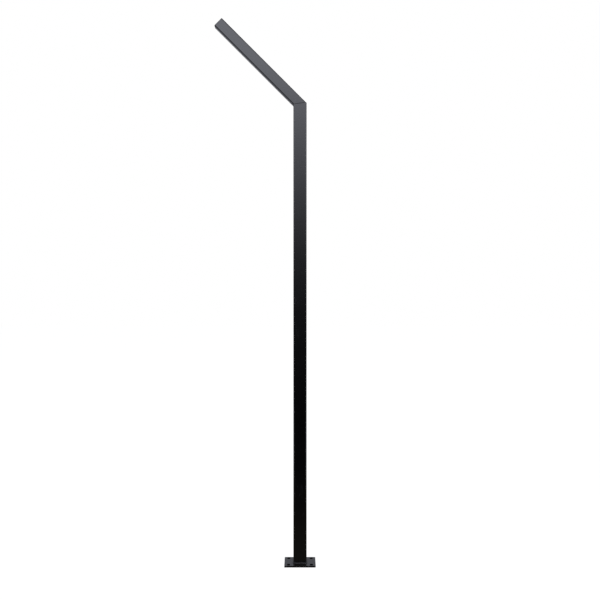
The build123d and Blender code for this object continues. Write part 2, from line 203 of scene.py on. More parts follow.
def turned(stand: Stand, rise: np.ndarray, radius: np.ndarray, columns: int) -> np.ndarray:
    """Turned surface: at angle a and row t the point is radius(t, a) * (cos a, sin a) at rise(t).

    Args:
        stand: Where the axis stands.
        rise: Distance of each row along the axis.
        radius: Radius of each row, or of each row and column.
        columns: Points round the axis.

    Returns:
        Points as (rows, columns, 3).
    """
    angle = np.arange(columns) * (2 * math.pi / columns)
    wide = np.broadcast_to(radius if radius.ndim == 2 else radius[:, None], (len(rise), columns))
    tall = np.broadcast_to(rise[:, None], wide.shape)
    return stand.place(np.stack([wide * np.cos(angle), wide * np.sin(angle), tall], axis=-1))


def hexagon_radius(flats: float, columns: int) -> np.ndarray:
    """Distance from a hexagon's centre to its edge: half the flats over cos of the angle from the flat."""
    angle = np.arange(columns) * (2 * math.pi / columns)
    return flats / 2 / np.cos(np.mod(angle, math.pi / 3) - math.pi / 6)


def quarter_round(radius: float, steps: int = 4) -> tuple[np.ndarray, np.ndarray]:
    """Inset and drop along a rounded edge: radius * (1 - cos a, 1 - sin a) over a quarter turn."""
    angle = np.linspace(0, math.pi / 2, steps + 1)
    return radius * (1 - np.cos(angle)), radius * (1 - np.sin(angle))


def prism(stand: Stand, outline: np.ndarray, start: float, end: float) -> tuple[np.ndarray, Faces]:
    """A closed straight prism of an outline between two distances along a stand."""
    return lattice(stacked(stand, [(start, outline), (end, outline)]), caps=True)


def round_outline(radius: float, x: float = 0.0, y: float = 0.0, columns: int = 48) -> np.ndarray:
    """A circle's outline about a point."""
    angle = np.arange(columns) * (2 * math.pi / columns)
    return np.stack([x + radius * np.cos(angle), y + radius * np.sin(angle)], axis=-1)


def rolled_slab(
    stand: Stand, size: tuple[float, float, float], span: tuple[float, float], edge: float
) -> tuple[np.ndarray, Faces]:
    """A closed slab with round corners, whose last face has a rolled edge.

    The slab is straight from its first face on, and over the edge its outline is set in by a quarter
    round: edge * (1 - cos a) narrower at edge * (1 - sin a) before the last face.

    Args:
        stand: Where the slab is built.
        size: Width, length and corner radius.
        span: First and last distance along the stand.
        edge: Radius of the rolled edge.

    Returns:
        Points and faces.
    """
    width, length, corner = size
    first, last = span
    rows = [(first, rounded_outline(width, length, corner))]
    rows += [
        (last - drop, rounded_outline(width - 2 * inset, length - 2 * inset, corner - inset))
        for inset, drop in zip(*quarter_round(edge))
    ]
    return lattice(stacked(stand, rows), caps=True)


def thread_wave(rise: np.ndarray, pitch: float, columns: int) -> np.ndarray:
    """Triangle wave from 0 to 1 of rise over pitch minus angle over turn, by row and column."""
    angle = np.arange(columns) / columns
    return np.abs(np.mod(rise[:, None] / pitch - angle[None, :], 1.0) * 2 - 1)


# ---------------------------------------------------------------------------------------------------
# Pieces
# ---------------------------------------------------------------------------------------------------


def link(mesh: bpy.types.Mesh, name: str) -> bpy.types.Object:
    """Put a mesh into the scene as an object.

    Args:
        mesh: The mesh.
        name: The object's name.

    Returns:
        The new object.
    """
    piece = bpy.data.objects.new(name, mesh)
    bpy.context.scene.collection.objects.link(piece)
    return piece


def skin(name: str, surface: tuple[np.ndarray, Faces]) -> bpy.types.Object:
    """Make an object from points and faces.

    Args:
        name: The object's name.
        surface: Points and faces, as lattice gives them.

    Returns:
        The new object.
    """
    points, faces = surface
    mesh = bpy.data.meshes.new(name)
    mesh.from_pydata(points.tolist(), [], faces)
    mesh.update()
    return link(mesh, name)


def joined(surfaces: Sequence[tuple[np.ndarray, Faces]]) -> tuple[np.ndarray, Faces]:
    """Several surfaces as one, their faces renumbered to follow on.

    Args:
        surfaces: Points and faces of each surface.

    Returns:
        All points as one list, and all faces.
    """
    starts = np.cumsum([0] + [len(points) for points, _ in surfaces])
    faces = [tuple(i + int(s) for i in face) for (_, some), s in zip(surfaces, starts) for face in some]
    return np.concatenate([points for points, _ in surfaces]), faces


def settle(piece: bpy.types.Object) -> None:
    """Replace a piece's mesh with what its modifiers make of it, and clear them.

    Args:
        piece: The piece.
    """
    graph = bpy.context.evaluated_depsgraph_get()
    graph.update()
    mesh = bpy.data.meshes.new_from_object(piece.evaluated_get(graph))
    mesh.name = piece.name
    piece.modifiers.clear()
    piece.data = mesh


def cut(piece: bpy.types.Object, cutter_surfaces: Sequence[tuple[np.ndarray, Faces]]) -> None:
    """Take the cutters' volumes out of a piece.

    Args:
        piece: The piece that is cut.
        cutter_surfaces: Closed surfaces that don't touch each other.
    """
    cutter = skin(f"{piece.name}_cutter", joined(cutter_surfaces))
    tool = piece.modifiers.new("cut", "BOOLEAN")
    tool.operation = "DIFFERENCE"
    tool.solver = "EXACT"
    tool.object = cutter
    settle(piece)
    bpy.data.objects.remove(cutter)


def soften(piece: bpy.types.Object, width: float, low: Sequence[float], high: Sequence[float]) -> None:
    """Round the sharp edges of a piece that lie inside a box.

    Args:
        piece: The piece.
        width: Width of the rounding.
        low: Lowest corner of the box.
        high: Highest corner of the box.
    """
    mesh = piece.data
    points = np.empty(len(mesh.vertices) * 3)
    mesh.vertices.foreach_get("co", points)
    inside = np.all((points.reshape(-1, 3) >= low) & (points.reshape(-1, 3) <= high), axis=1)
    ends = np.empty(len(mesh.edges) * 2, dtype=int)
    mesh.edges.foreach_get("vertices", ends)
    mesh.set_sharp_from_angle(angle=SMOOTH_BELOW)
    sharp = np.zeros(len(mesh.edges), dtype=bool)
    mesh.attributes["sharp_edge"].data.foreach_get("value", sharp)
    chosen = sharp & inside[ends.reshape(-1, 2)].all(axis=1)
    weight = mesh.attributes.new("bevel_weight_edge", "FLOAT", "EDGE")
    weight.data.foreach_set("value", chosen.astype(float))
    mesh.attributes.remove(mesh.attributes["sharp_edge"])
    rounding = piece.modifiers.new("rounding", "BEVEL")
    rounding.limit_method = "WEIGHT"
    rounding.width = width
    rounding.segments = ROUNDING_SEGMENTS
    settle(piece)


def even_shading(piece: bpy.types.Object) -> None:
    """Smooth shading that keeps real edges crisp and large flats flat.

    Args:
        piece: The piece.
    """
    mesh = piece.data
    mesh.shade_smooth()
    mesh.set_sharp_from_angle(angle=SMOOTH_BELOW)
    weighted = piece.modifiers.new("flat_faces", "WEIGHTED_NORMAL")
    weighted.keep_sharp = True
    settle(piece)


# ---------------------------------------------------------------------------------------------------
# Shader groups, shared by the finishes
# ---------------------------------------------------------------------------------------------------


class Graph:
    """A node tree with short calls for adding nodes, joining them and placing them in columns."""

    COLUMN_WIDTH = 190

    def __init__(self, tree: bpy.types.NodeTree) -> None:
        """Start on a node tree."""
        self.tree = tree
        self.column = 0

    def add(self, kind: str, **settings: object) -> bpy.types.Node:
        """Add a node.

        Args:
            kind: The node's type, without the ShaderNode prefix where it has one.
            **settings: Properties of the node.

        Returns:
            The node.
        """
        name = kind if kind.startswith(("NodeGroup", "Shader")) else f"ShaderNode{kind}"
        node = self.tree.nodes.new(name)
        for key, value in settings.items():
            setattr(node, key, value)
        node.location = (self.column * self.COLUMN_WIDTH, 0)
        self.column += 1
        return node

    def join(self, source: bpy.types.NodeSocket, target: bpy.types.NodeSocket) -> None:
        """Link an output to an input."""
        self.tree.links.new(source, target)

    def feed(self, socket: bpy.types.NodeSocket, value: object) -> None:
        """Link an input to a value that is itself a socket, or else set it to the value.

        Args:
            socket: The input.
            value: A socket, a number or a tuple, or nothing to leave the input alone.
        """
        if isinstance(value, bpy.types.NodeSocket):
            self.join(value, socket)
        elif value is not None:
            socket.default_value = value

    def maths(self, operation: str, first: object, second: object = None) -> bpy.types.NodeSocket:
        """A Math node whose inputs are sockets or numbers.

        Args:
            operation: The node's operation.
            first: First input.
            second: Second input, or nothing.

        Returns:
            The node's output.
        """
        node = self.add("Math", operation=operation)
        for socket, value in zip(node.inputs, (first, second)):
            self.feed(socket, value)
        return node.outputs[0]

    def noise(self, place: bpy.types.NodeSocket, scale: object, detail: float) -> bpy.types.NodeSocket:
        """A Noise texture at a place.

        Args:
            place: Coordinates.
            scale: Scale, a number or a socket.
            detail: Octaves of finer noise.

        Returns:
            The noise, from 0 to 1.
        """
        node = self.add("TexNoise")
        self.join(place, node.inputs["Vector"])
        node.inputs["Detail"].default_value = detail
        self.feed(node.inputs["Scale"], scale)
        return node.outputs["Fac"]

    def spread(self, value: bpy.types.NodeSocket, low: object, high: object) -> bpy.types.NodeSocket:
        """Carry a value from the stretch low to high onto 0 to 1, held at both ends.

        Args:
            value: The value.
            low: Where it gives 0, a number or a socket.
            high: Where it gives 1, a number or a socket.

        Returns:
            The carried value.
        """
        node = self.add("MapRange")
        self.join(value, node.inputs["Value"])
        self.feed(node.inputs["From Min"], low)
        self.feed(node.inputs["From Max"], high)
        return node.outputs["Result"]

    def between(self, mask: bpy.types.NodeSocket, low: float, high: float) -> bpy.types.NodeSocket:
        """A number that runs from low to high as a mask runs from 0 to 1.

        Args:
            mask: The mask.
            low: The number at 0.
            high: The number at 1.

        Returns:
            The number.
        """
        node = self.add("MapRange")
        self.join(mask, node.inputs["Value"])
        node.inputs["To Min"].default_value = low
        node.inputs["To Max"].default_value = high
        return node.outputs["Result"]

    def tones(self, mask: bpy.types.NodeSocket, first: object, second: Colour) -> bpy.types.NodeSocket:
        """Mix two tones by a mask.

        Args:
            mask: 0 for the first tone, 1 for the second.
            first: The first tone, a colour or a socket.
            second: The second tone.

        Returns:
            The mixed colour.
        """
        mix = self.add("Mix", data_type="RGBA")
        self.join(mask, mix.inputs[0])
        self.feed(mix.inputs[6], first if isinstance(first, bpy.types.NodeSocket) else (*first, 1.0))
        mix.inputs[7].default_value = (*second, 1.0)
        return mix.outputs[2]

    def axes(self, place: bpy.types.NodeSocket) -> bpy.types.bpy_prop_collection:
        """Split a place into its three numbers.

        Args:
            place: Coordinates.

        Returns:
            The sockets X, Y and Z, by name.
        """
        split = self.add("SeparateXYZ")
        self.join(place, split.inputs[0])
        return split.outputs

    def stretched(
        self, place: bpy.types.NodeSocket, scale: Sequence[float], turn: Sequence[float] = (0.0, 0.0, 0.0)
    ) -> bpy.types.NodeSocket:
        """A place scaled along each axis and turned, for a pattern that runs one way.

        Args:
            place: Coordinates.
            scale: Scale along X, Y and Z.
            turn: Turn about X, Y and Z.

        Returns:
            The new coordinates.
        """
        mapping = self.add("Mapping")
        mapping.inputs["Scale"].default_value = scale
        mapping.inputs["Rotation"].default_value = turn
        self.join(place, mapping.inputs["Vector"])
        return mapping.outputs[0]

    def end(self, surface: bpy.types.Node, kind: str = "OutputMaterial") -> None:
        """Close the tree with an output of that kind, fed by a shader."""
        self.join(surface.outputs[0], self.add(kind).inputs["Surface"])


def new_material(name: str) -> tuple[bpy.types.Material, Graph]:
    """Start a material without nodes.

    Args:
        name: The material's name.

    Returns:
        The material and its graph.
    """
    material = bpy.data.materials.new(name)
    material.use_nodes = True
    material.node_tree.nodes.clear()
    return material, Graph(material.node_tree)


def new_group(name: str, inputs: dict[str, float], outputs: dict[str, str]) -> tuple[Graph, dict, dict]:
    """Start a shader group.

    Args:
        name: The group's name.
        inputs: Input names and their default numbers.
        outputs: Output names and their socket types.

    Returns:
        The graph, its input sockets and its output sockets, by name.
    """
    tree = bpy.data.node_groups.new(name, "ShaderNodeTree")
    for label, number in inputs.items():
        socket = tree.interface.new_socket(label, in_out="INPUT", socket_type="NodeSocketFloat")
        socket.default_value = number
    for label, kind in outputs.items():
        tree.interface.new_socket(label, in_out="OUTPUT", socket_type=kind)
    graph = Graph(tree)
    entry = graph.add("NodeGroupInput")
    leave = graph.add("NodeGroupOutput")
    return graph, {s.name: s for s in entry.outputs if s.name}, {s.name: s for s in leave.inputs if s.name}


def object_place(graph: Graph) -> bpy.types.NodeSocket:
    """Object coordinates, which are metres in the frame."""
    return graph.add("TexCoord").outputs["Object"]


def make_powder_grain() -> bpy.types.NodeTree:
    """Group: fine pebbled skin of a baked coat, and slow patches of thicker and thinner film.

    Height is a share of a fine noise, plus a wider one, plus the slow waves of orange peel times their own
    amount. Film is a much wider noise.

    Returns:
        The group.
    """
    wider, fine_share = 0.28, 0.45
    film_range = (0.32, 0.7)
    graph, given, result = new_group(
        "powder_grain", {"Fine scale": 1600.0, "Patch scale": 5.0, "Peel": 0.0, "Peel scale": 75.0},
        {"Height": "NodeSocketFloat", "Film": "NodeSocketFloat"},
    )
    place = object_place(graph)
    fine = graph.noise(place, given["Fine scale"], detail=2.0)
    wide = graph.noise(place, graph.maths("MULTIPLY", given["Fine scale"], wider), detail=1.0)
    waves = graph.noise(place, given["Peel scale"], detail=1.5)
    peel = graph.maths("MULTIPLY", waves, given["Peel"])
    grain = graph.maths("ADD", graph.maths("MULTIPLY", fine, fine_share), wide)
    graph.join(graph.maths("ADD", grain, peel), result["Height"])
    film = graph.noise(place, given["Patch scale"], detail=4.0)
    graph.join(graph.spread(film, *film_range), result["Film"])
    return graph.tree


def make_settled_dust() -> bpy.types.NodeTree:
    """Group: dust that lies on what faces up, and thinner on all sides low down, broken up by noise.

    Returns:
        The group.
    """
    tilt_range, gap_range = (0.35, 0.95), (0.34, 0.68)
    side_share = 0.35
    graph, given, result = new_group(
        "settled_dust", {"Amount": 0.5, "Scale": 60.0, "Reach": 0.25}, {"Mask": "NodeSocketFloat"}
    )
    place = object_place(graph)
    tilt = graph.axes(graph.add("NewGeometry").outputs["Normal"])["Z"]
    height = graph.axes(place)["Z"]
    low_down = graph.maths("SUBTRACT", 1.0, graph.spread(height, 0.0, given["Reach"]))
    beside = graph.maths("MULTIPLY", low_down, side_share)
    lying = graph.maths("MAXIMUM", graph.spread(tilt, *tilt_range), beside)
    broken = graph.spread(graph.noise(place, given["Scale"], detail=5.0), *gap_range)
    dust = graph.maths("MULTIPLY", lying, broken)
    graph.join(graph.maths("MULTIPLY", dust, given["Amount"]), result["Mask"])
    return graph.tree


def make_fine_scratches() -> bpy.types.NodeTree:
    """Group: sparse thin marks, where a noise stretched along the post crosses its middle value.

    Returns:
        The group.
    """
    along_post, turn = (1.0, 1.0, 0.12), (0.35, 0.2, 0.0)
    middle = 0.5
    sparse_scale, sparse_range = 9.0, (0.56, 0.66)
    graph, given, result = new_group(
        "fine_scratches", {"Scale": 30.0, "Width": 0.02}, {"Mask": "NodeSocketFloat"}
    )
    place = object_place(graph)
    wave = graph.noise(graph.stretched(place, along_post, turn), given["Scale"], detail=3.0)
    distance = graph.maths("ABSOLUTE", graph.maths("SUBTRACT", wave, middle))
    line = graph.maths("SUBTRACT", 1.0, graph.spread(distance, 0.0, given["Width"]))
    sparse = graph.spread(graph.noise(place, sparse_scale, detail=1.0), *sparse_range)
    graph.join(graph.maths("MULTIPLY", line, sparse), result["Mask"])
    return graph.tree


def make_machining() -> bpy.types.NodeTree:
    """Group: turned metal's fine rings, a stretched noise, with duller stains.

    Returns:
        The group.
    """
    across_axis = (0.2, 1.0, 0.2)
    stain_range = (0.4, 0.7)
    graph, given, result = new_group(
        "machining", {"Scale": 900.0, "Stain scale": 120.0},
        {"Height": "NodeSocketFloat", "Stain": "NodeSocketFloat"},
    )
    place = object_place(graph)
    rings = graph.noise(graph.stretched(place, across_axis), given["Scale"], detail=2.0)
    graph.join(rings, result["Height"])
    stain = graph.noise(place, given["Stain scale"], detail=4.0)
    graph.join(graph.spread(stain, *stain_range), result["Stain"])
    return graph.tree


GROUPS = {
    "grain": make_powder_grain(),
    "dust": make_settled_dust(),
    "scratches": make_fine_scratches(),
    "machining": make_machining(),
}


# ---------------------------------------------------------------------------------------------------
# Finishes
# ---------------------------------------------------------------------------------------------------


@dataclass(frozen=True)
class Finish:
    """A finish: one dark and one light tone that a mask mixes, a roughness range and a fine relief."""

    name: str
    dark: Colour
    light: Colour
    rough_low: float
    rough_high: float
    relief: float = 0.00004
    metal: float = 0.0
    specular: float = 0.5

    def start(self) -> tuple[bpy.types.Material, Graph, bpy.types.Node]:
        """A new material with its surface shader.

        Returns:
            The material, its graph and its Principled shader.
        """
        material, graph = new_material(self.name)
        shader = graph.add("BsdfPrincipled")
        shader.inputs["Metallic"].default_value = self.metal
        shader.inputs["Specular IOR Level"].default_value = self.specular
        graph.end(shader)
        return material, graph, shader

    def group(self, graph: Graph, key: str, **values: float) -> bpy.types.Node:
        """Place a shared group with this finish's own values.

        Args:
            graph: The material's graph.
            key: The group's key in GROUPS.
            **values: Its inputs' values, with underscores for the spaces in their names.

        Returns:
            The group's node.
        """
        node = graph.add("Group")
        node.node_tree = GROUPS[key]
        for label, number in values.items():
            node.inputs[label.replace("_", " ")].default_value = number
        return node

    def paint(
        self, graph: Graph, mask: bpy.types.NodeSocket, first: Colour, second: Colour, shader: bpy.types.Node
    ) -> None:
        """Colour a shader with two tones, and set its roughness between this finish's ends, by one mask.

        Args:
            graph: The material's graph.
            mask: 0 for the first tone, 1 for the second.
            first: The first tone.
            second: The second tone.
            shader: The surface shader.
        """
        graph.join(graph.tones(mask, first, second), shader.inputs["Base Color"])
        graph.join(graph.between(mask, self.rough_low, self.rough_high), shader.inputs["Roughness"])

    def raise_by(self, graph: Graph, height: bpy.types.NodeSocket, shader: bpy.types.Node) -> None:
        """Lift the surface by this finish's relief times a height.

        Args:
            graph: The material's graph.
            height: The height, as a multiple of the relief.
            shader: The surface shader.
        """
        bump = graph.add("Bump")
        bump.inputs["Distance"].default_value = self.relief
        graph.join(height, bump.inputs["Height"])
        graph.join(bump.outputs[0], shader.inputs["Normal"])

    def build(self) -> bpy.types.Material:
        """The plain form: grain for relief, its film patches for tone and roughness.

        Returns:
            The material.
        """
        material, graph, shader = self.start()
        grain = self.group(graph, "grain", Fine_scale=1400.0, Patch_scale=40.0)
        self.paint(graph, grain.outputs["Film"], self.dark, self.light, shader)
        self.raise_by(graph, grain.outputs["Height"], shader)
        return material


@dataclass(frozen=True)
class PowderCoat(Finish):
    """Baked satin powder coat on steel, with settled dust and a few fine scratches."""

    dust: Colour = (0.06, 0.053, 0.042)
    dust_amount: float = 0.1
    scratch: Colour = (0.02, 0.02, 0.021)
    scratch_share: float = 0.5
    dusty_roughness: float = 0.6
    peel: float = 5.0

    def build(self) -> bpy.types.Material:
        """Grain, dust and scratches over the coat's own tone.

        Returns:
            The material.
        """
        material, graph, shader = self.start()
        grain = self.group(graph, "grain", Fine_scale=1500.0, Patch_scale=4.0, Peel=self.peel)
        dust = self.group(graph, "dust", Amount=self.dust_amount, Scale=55.0, Reach=0.22)
        marks = self.group(graph, "scratches", Scale=26.0, Width=0.012)
        film = grain.outputs["Film"]
        coat = graph.tones(film, self.dark, self.light)
        faint = graph.maths("MULTIPLY", marks.outputs["Mask"], self.scratch_share)
        marked = graph.tones(faint, coat, self.scratch)
        dusty = graph.tones(dust.outputs["Mask"], marked, self.dust)
        graph.join(dusty, shader.inputs["Base Color"])
        mix = graph.add("Mix", data_type="FLOAT")
        graph.join(dust.outputs["Mask"], mix.inputs[0])
        graph.join(graph.between(film, self.rough_low, self.rough_high), mix.inputs[2])
        mix.inputs[3].default_value = self.dusty_roughness
        graph.join(mix.outputs[0], shader.inputs["Roughness"])
        self.raise_by(graph, grain.outputs["Height"], shader)
        return material


@dataclass(frozen=True)
class BareMetal(Finish):
    """Turned or plated metal with fine machining marks and duller stains."""

    metal: float = 1.0

    def build(self) -> bpy.types.Material:
        """Machining marks for relief, stains for tone and roughness.

        Returns:
            The material.
        """
        material, graph, shader = self.start()
        marks = self.group(graph, "machining", Scale=1400.0, Stain_scale=160.0)
        self.paint(graph, marks.outputs["Stain"], self.light, self.dark, shader)
        self.raise_by(graph, marks.outputs["Height"], shader)
        return material


@dataclass(frozen=True)
class Laminate(Finish):
    """Pressed board: brown resin with a fibrous figure along its length."""

    fibre: tuple[float, float, float] = (1.0, 1.0, 0.08)
    figure_scale: float = 420.0
    figure_range: tuple[float, float] = (0.35, 0.68)

    def build(self) -> bpy.types.Material:
        """A noise stretched along the board for its figure, grain for relief.

        Returns:
            The material.
        """
        material, graph, shader = self.start()
        place = graph.stretched(object_place(graph), self.fibre)
        fibres = graph.noise(place, self.figure_scale, detail=6.0)
        figure = graph.spread(fibres, *self.figure_range)
        self.paint(graph, figure, self.dark, self.light, shader)
        grain = self.group(graph, "grain", Fine_scale=900.0, Patch_scale=30.0)
        self.raise_by(graph, grain.outputs["Height"], shader)
        return material


class Coat(Enum):
    """The finishes, named as the record's material slots are."""

    powder_coat = PowderCoat(
        "satin_black_coat", (0.0011, 0.0011, 0.0012), (0.0017, 0.0017, 0.0018), 0.12, 0.17, relief=0.000012
    )
    galvanised = BareMetal("dull_zinc", (0.3, 0.31, 0.32), (0.5, 0.51, 0.52), 0.42, 0.6)
    stainless = BareMetal("stainless_steel", (0.42, 0.41, 0.39), (0.62, 0.6, 0.57), 0.2, 0.36)
    brass = BareMetal("turned_brass", (0.48, 0.33, 0.13), (0.75, 0.57, 0.27), 0.24, 0.42)
    black_rubber = Finish(
        "moulded_rubber", (0.012, 0.012, 0.012), (0.022, 0.022, 0.021), 0.62, 0.8, relief=0.00008
    )
    gasket_foam = Finish("cell_foam", (0.02, 0.02, 0.021), (0.045, 0.045, 0.046), 0.85, 0.95, relief=0.0002)
    black_plastic = Finish(
        "matt_black_nylon", (0.010, 0.010, 0.011), (0.018, 0.018, 0.019), 0.45, 0.58, relief=0.00006
    )
    board_laminate = Laminate("brown_laminate", (0.11, 0.05, 0.02), (0.26, 0.14, 0.065), 0.38, 0.55)
    cutout_plastic = Finish("black_phenolic", (0.014, 0.013, 0.013), (0.026, 0.025, 0.024), 0.28, 0.4)
    carrier_plastic = Finish("pale_grey_moulding", (0.5, 0.5, 0.48), (0.62, 0.62, 0.6), 0.34, 0.46)
    fuse_ceramic = Finish(
        "glazed_ceramic", (0.72, 0.69, 0.62), (0.84, 0.82, 0.76), 0.08, 0.16, relief=0.00001
    )
    gland_plastic = Finish("grey_nylon", (0.1, 0.105, 0.11), (0.17, 0.175, 0.18), 0.36, 0.5)


MATERIALS = {coat: coat.value.build() for coat in Coat}


def dress(piece: bpy.types.Object, coat: Coat, body: str, *stands_for: str) -> bpy.types.Object:
    """Give a new piece its finish and its body, and hide what it stands for.

    Args:
        piece: The piece.
        coat: Its finish.
        body: The body that it moves with.
        *stands_for: The frame's nodes that it replaces.

    Returns:
        The piece.
    """
    piece.data.materials.clear()
    piece.data.materials.append(MATERIALS[coat])
    even_shading(piece)
    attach(piece, body)
    if stands_for:
        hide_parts(*stands_for)
    log.info("%s: %d faces, rides on %s", piece.name, len(piece.data.polygons), body)
    return piece


# ---------------------------------------------------------------------------------------------------
# Weld beads
# ---------------------------------------------------------------------------------------------------


@dataclass(frozen=True)
class Bead:
    """A fillet weld's cross-section and its ripples."""

    leg: float
    bulge: float = 0.13
    pitch: float = 2.8 * MM
    ripple: float = 0.32 * MM
    ripple_power: float = 0.7
    lag: float = 0.9
    across: int = 9
    hand_waves: tuple[tuple[float, int, float], ...] = ((0.05, 7, 0.4), (0.04, 17, 1.9))
    hand_reach: float = 0.5

    def section(self, walked: np.ndarray, span: float) -> np.ndarray:
        """Distances from the corner, out along the floor and up the wall, at each walked distance.

        Across the bead t runs from 0 on the wall to 1 on the floor. The straight line between the two
        legs is pushed out along its normal by bulge * leg * sin(pi t), and by ripple * root of sin(pi t)
        times a power of |sin| of pi times the walked distance over the pitch, which lags towards the
        bead's edges. Slow waves, each an amount, a number of turns and a start, make the hand's
        unevenness.

        Args:
            walked: Distance along the bead at each station.
            span: Whole length of the bead, over which the slow waves close.

        Returns:
            Array of (stations, across + 1, 2), the last point of each station being the corner itself.
        """
        t = np.linspace(0, 1, self.across)[None, :]
        s = walked[:, None]
        turn = 2 * math.pi * s / span
        hand = sum(amount * np.sin(turns * turn + start) for amount, turns, start in self.hand_waves)
        phase = math.pi * (s / self.pitch - self.lag * (2 * t - 1) ** 2)
        wave = self.ripple * np.abs(np.sin(phase)) ** self.ripple_power * np.sqrt(np.sin(math.pi * t))
        push = self.leg * self.bulge * (1 + hand) * np.sin(math.pi * t) + wave
        reach = self.leg * (1 + hand * self.hand_reach * (2 * t - 1) ** 2)
        out = reach * t + push * math.sqrt(0.5)
        rise = reach * (1 - t) + push * math.sqrt(0.5)
        bead = np.stack(np.broadcast_arrays(out, rise), axis=-1)
        corner = np.zeros((len(walked), 1, 2))
        return np.concatenate([bead, corner], axis=1)


# ---------------------------------------------------------------------------------------------------
# Joint between post and arm
# ---------------------------------------------------------------------------------------------------


@dataclass(frozen=True)
class Joint:
    """The sloping plane on which the arm meets the post, and the arm's own direction."""

    post_width: float
    post_top: float
    arm_width: float
    lean: float = math.radians(45)

    @property
    def slope(self) -> float:
        """Slope for which the arm's cut face is just as long as the post is wide."""
        return math.atan2(self.arm_width / self.post_width - math.cos(self.lean), math.sin(self.lean))

    @property
    def centre(self) -> np.ndarray:
        """Middle of the arm's cut face."""
        return np.array([0, 0, self.post_top - self.post_width / 2 * math.tan(self.slope)])

    @property
    def normal(self) -> np.ndarray:
        """Normal of the sloping plane, upwards."""
        return np.array([-math.sin(self.slope), 0, math.cos(self.slope)])

    @property
    def along_slope(self) -> np.ndarray:
        """Direction up the slope, towards +X."""
        return np.array([math.cos(self.slope), 0, math.sin(self.slope)])

    @property
    def arm_along(self) -> np.ndarray:
        """Direction out along the arm."""
        return np.array([-math.sin(self.lean), 0, math.cos(self.lean)])

    @property
    def arm_upward(self) -> np.ndarray:
        """Direction out of the arm's upper side."""
        return np.array([math.cos(self.lean), 0, math.sin(self.lean)])

    def arm_stand(self) -> Stand:
        """Stand on the arm's axis, level with the joint's outer corner, travelling out along the arm.

        Returns:
            The stand.
        """
        outer = np.array([self.post_width / 2, 0, self.post_top])
        origin = outer - self.arm_upward * (self.arm_width / 2)
        return Stand(tuple(origin), (0, -1, 0), tuple(self.arm_upward))

    def slope_stand(self, lift: float = 0.0) -> Stand:
        """Stand in the middle of the sloping plane, lifted along its normal."""
        return Stand(tuple(self.centre + self.normal * lift), tuple(self.along_slope), (0, 1, 0))

    def height(self, x: np.ndarray, lift: float) -> np.ndarray:
        """Height of the plane, lifted along its normal, over a place x."""
        return self.centre[2] + (lift - self.normal[0] * x) / self.normal[2]

    def prism_row(self, outline: np.ndarray, lift: float) -> np.ndarray:
        """An upright prism's outline where the lifted plane cuts it."""
        return np.column_stack([outline, self.height(outline[:, 0], lift)])

    def mitre_row(self, outline: np.ndarray) -> np.ndarray:
        """The arm's outline where the sloping plane cuts it.

        A line along the arm through the point p meets the plane after ((centre - p) . normal) divided by
        (arm direction . normal).

        Args:
            outline: Plane outline square to the arm.

        Returns:
            The outline's points on the plane.
        """
        stand = self.arm_stand()
        start = stand.place(np.column_stack([outline, np.zeros(len(outline))]))
        away = (self.centre - start) @ self.normal / (self.arm_along @ self.normal)
        return start + away[:, None] * self.arm_along


# ---------------------------------------------------------------------------------------------------
# The post and its foot
# ---------------------------------------------------------------------------------------------------


@dataclass
class Foot:
    """The base plate with its holes, and the weld bead round the post's foot."""

    joint: Joint
    post_corner: float = 10 * MM
    corner: float = 6 * MM
    edge: float = 1 * MM
    hole_edge: float = 0.5 * MM
    hole_columns: int = 96
    slot_steps: int = 16
    slot_round: float = 0.999
    bead: Bead = field(default_factory=lambda: Bead(8 * MM, bulge=0.05))
    stations: int = 1100

    def build_plate(self) -> None:
        """Slab with a rounded upper edge, cut by the anchor slots and the cable hole.

        A slot's corner radius is a hair under half its width, which keeps its outline's points apart.
        """
        low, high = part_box("base_plate")
        size, thick = high.x - low.x, high.z - low.z
        mounts = {mount["name"]: mount for mount in frame["record"]["mounts"]}
        entry = mounts["cable_entry"]["dims"]
        slab = rolled_slab(UPRIGHT, (size, size, self.corner), (0.0, thick), self.edge)
        plate = skin("base_plate_slab", slab)
        holes = []
        for mount in (mounts["anchor_slots_left"], mounts["anchor_slots_right"]):
            dims, x = mount["dims"], mount["pos_m"][0]
            width, length = 2 * dims["hole_r_mm"] * MM, dims["slot_length_mm"] * MM
            slot = rounded_outline(width, length, width / 2 * self.slot_round, self.slot_steps)
            shift = dims["spacing_y_mm"] * MM / 2
            holes += [slot + (x, side * shift) for side in (-1, 1)]
        holes.append(round_outline(entry["r_mm"] * MM, columns=self.hole_columns))
        cut(plate, [prism(UPRIGHT, hole, -thick, 2 * thick) for hole in holes])
        reach = size / 2 - 2 * self.edge
        soften(plate, self.hole_edge, (-reach, -reach, -thick), (reach, reach, 2 * thick))
        dress(plate, Coat.powder_coat, "post", "base_plate")

    def build_weld(self) -> None:
        """Rippled bead round the post: the bead's section set square to an even walk round the post."""
        width = self.joint.post_width
        place, normal, walked = square_path(width, self.post_corner, self.stations)
        perimeter = 4 * (width - 2 * self.post_corner) + 2 * math.pi * self.post_corner
        section = self.bead.section(walked, perimeter)
        flat = place[:, None, :] + normal[:, None, :] * section[..., :1]
        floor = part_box("base_weld")[0].z
        rows = np.concatenate([flat, floor + section[..., 1:]], axis=-1).transpose(1, 0, 2)
        bead = skin("foot_weld_bead", lattice(rows[::-1], ring=True))
        dress(bead, Coat.powder_coat, "post", "base_weld")


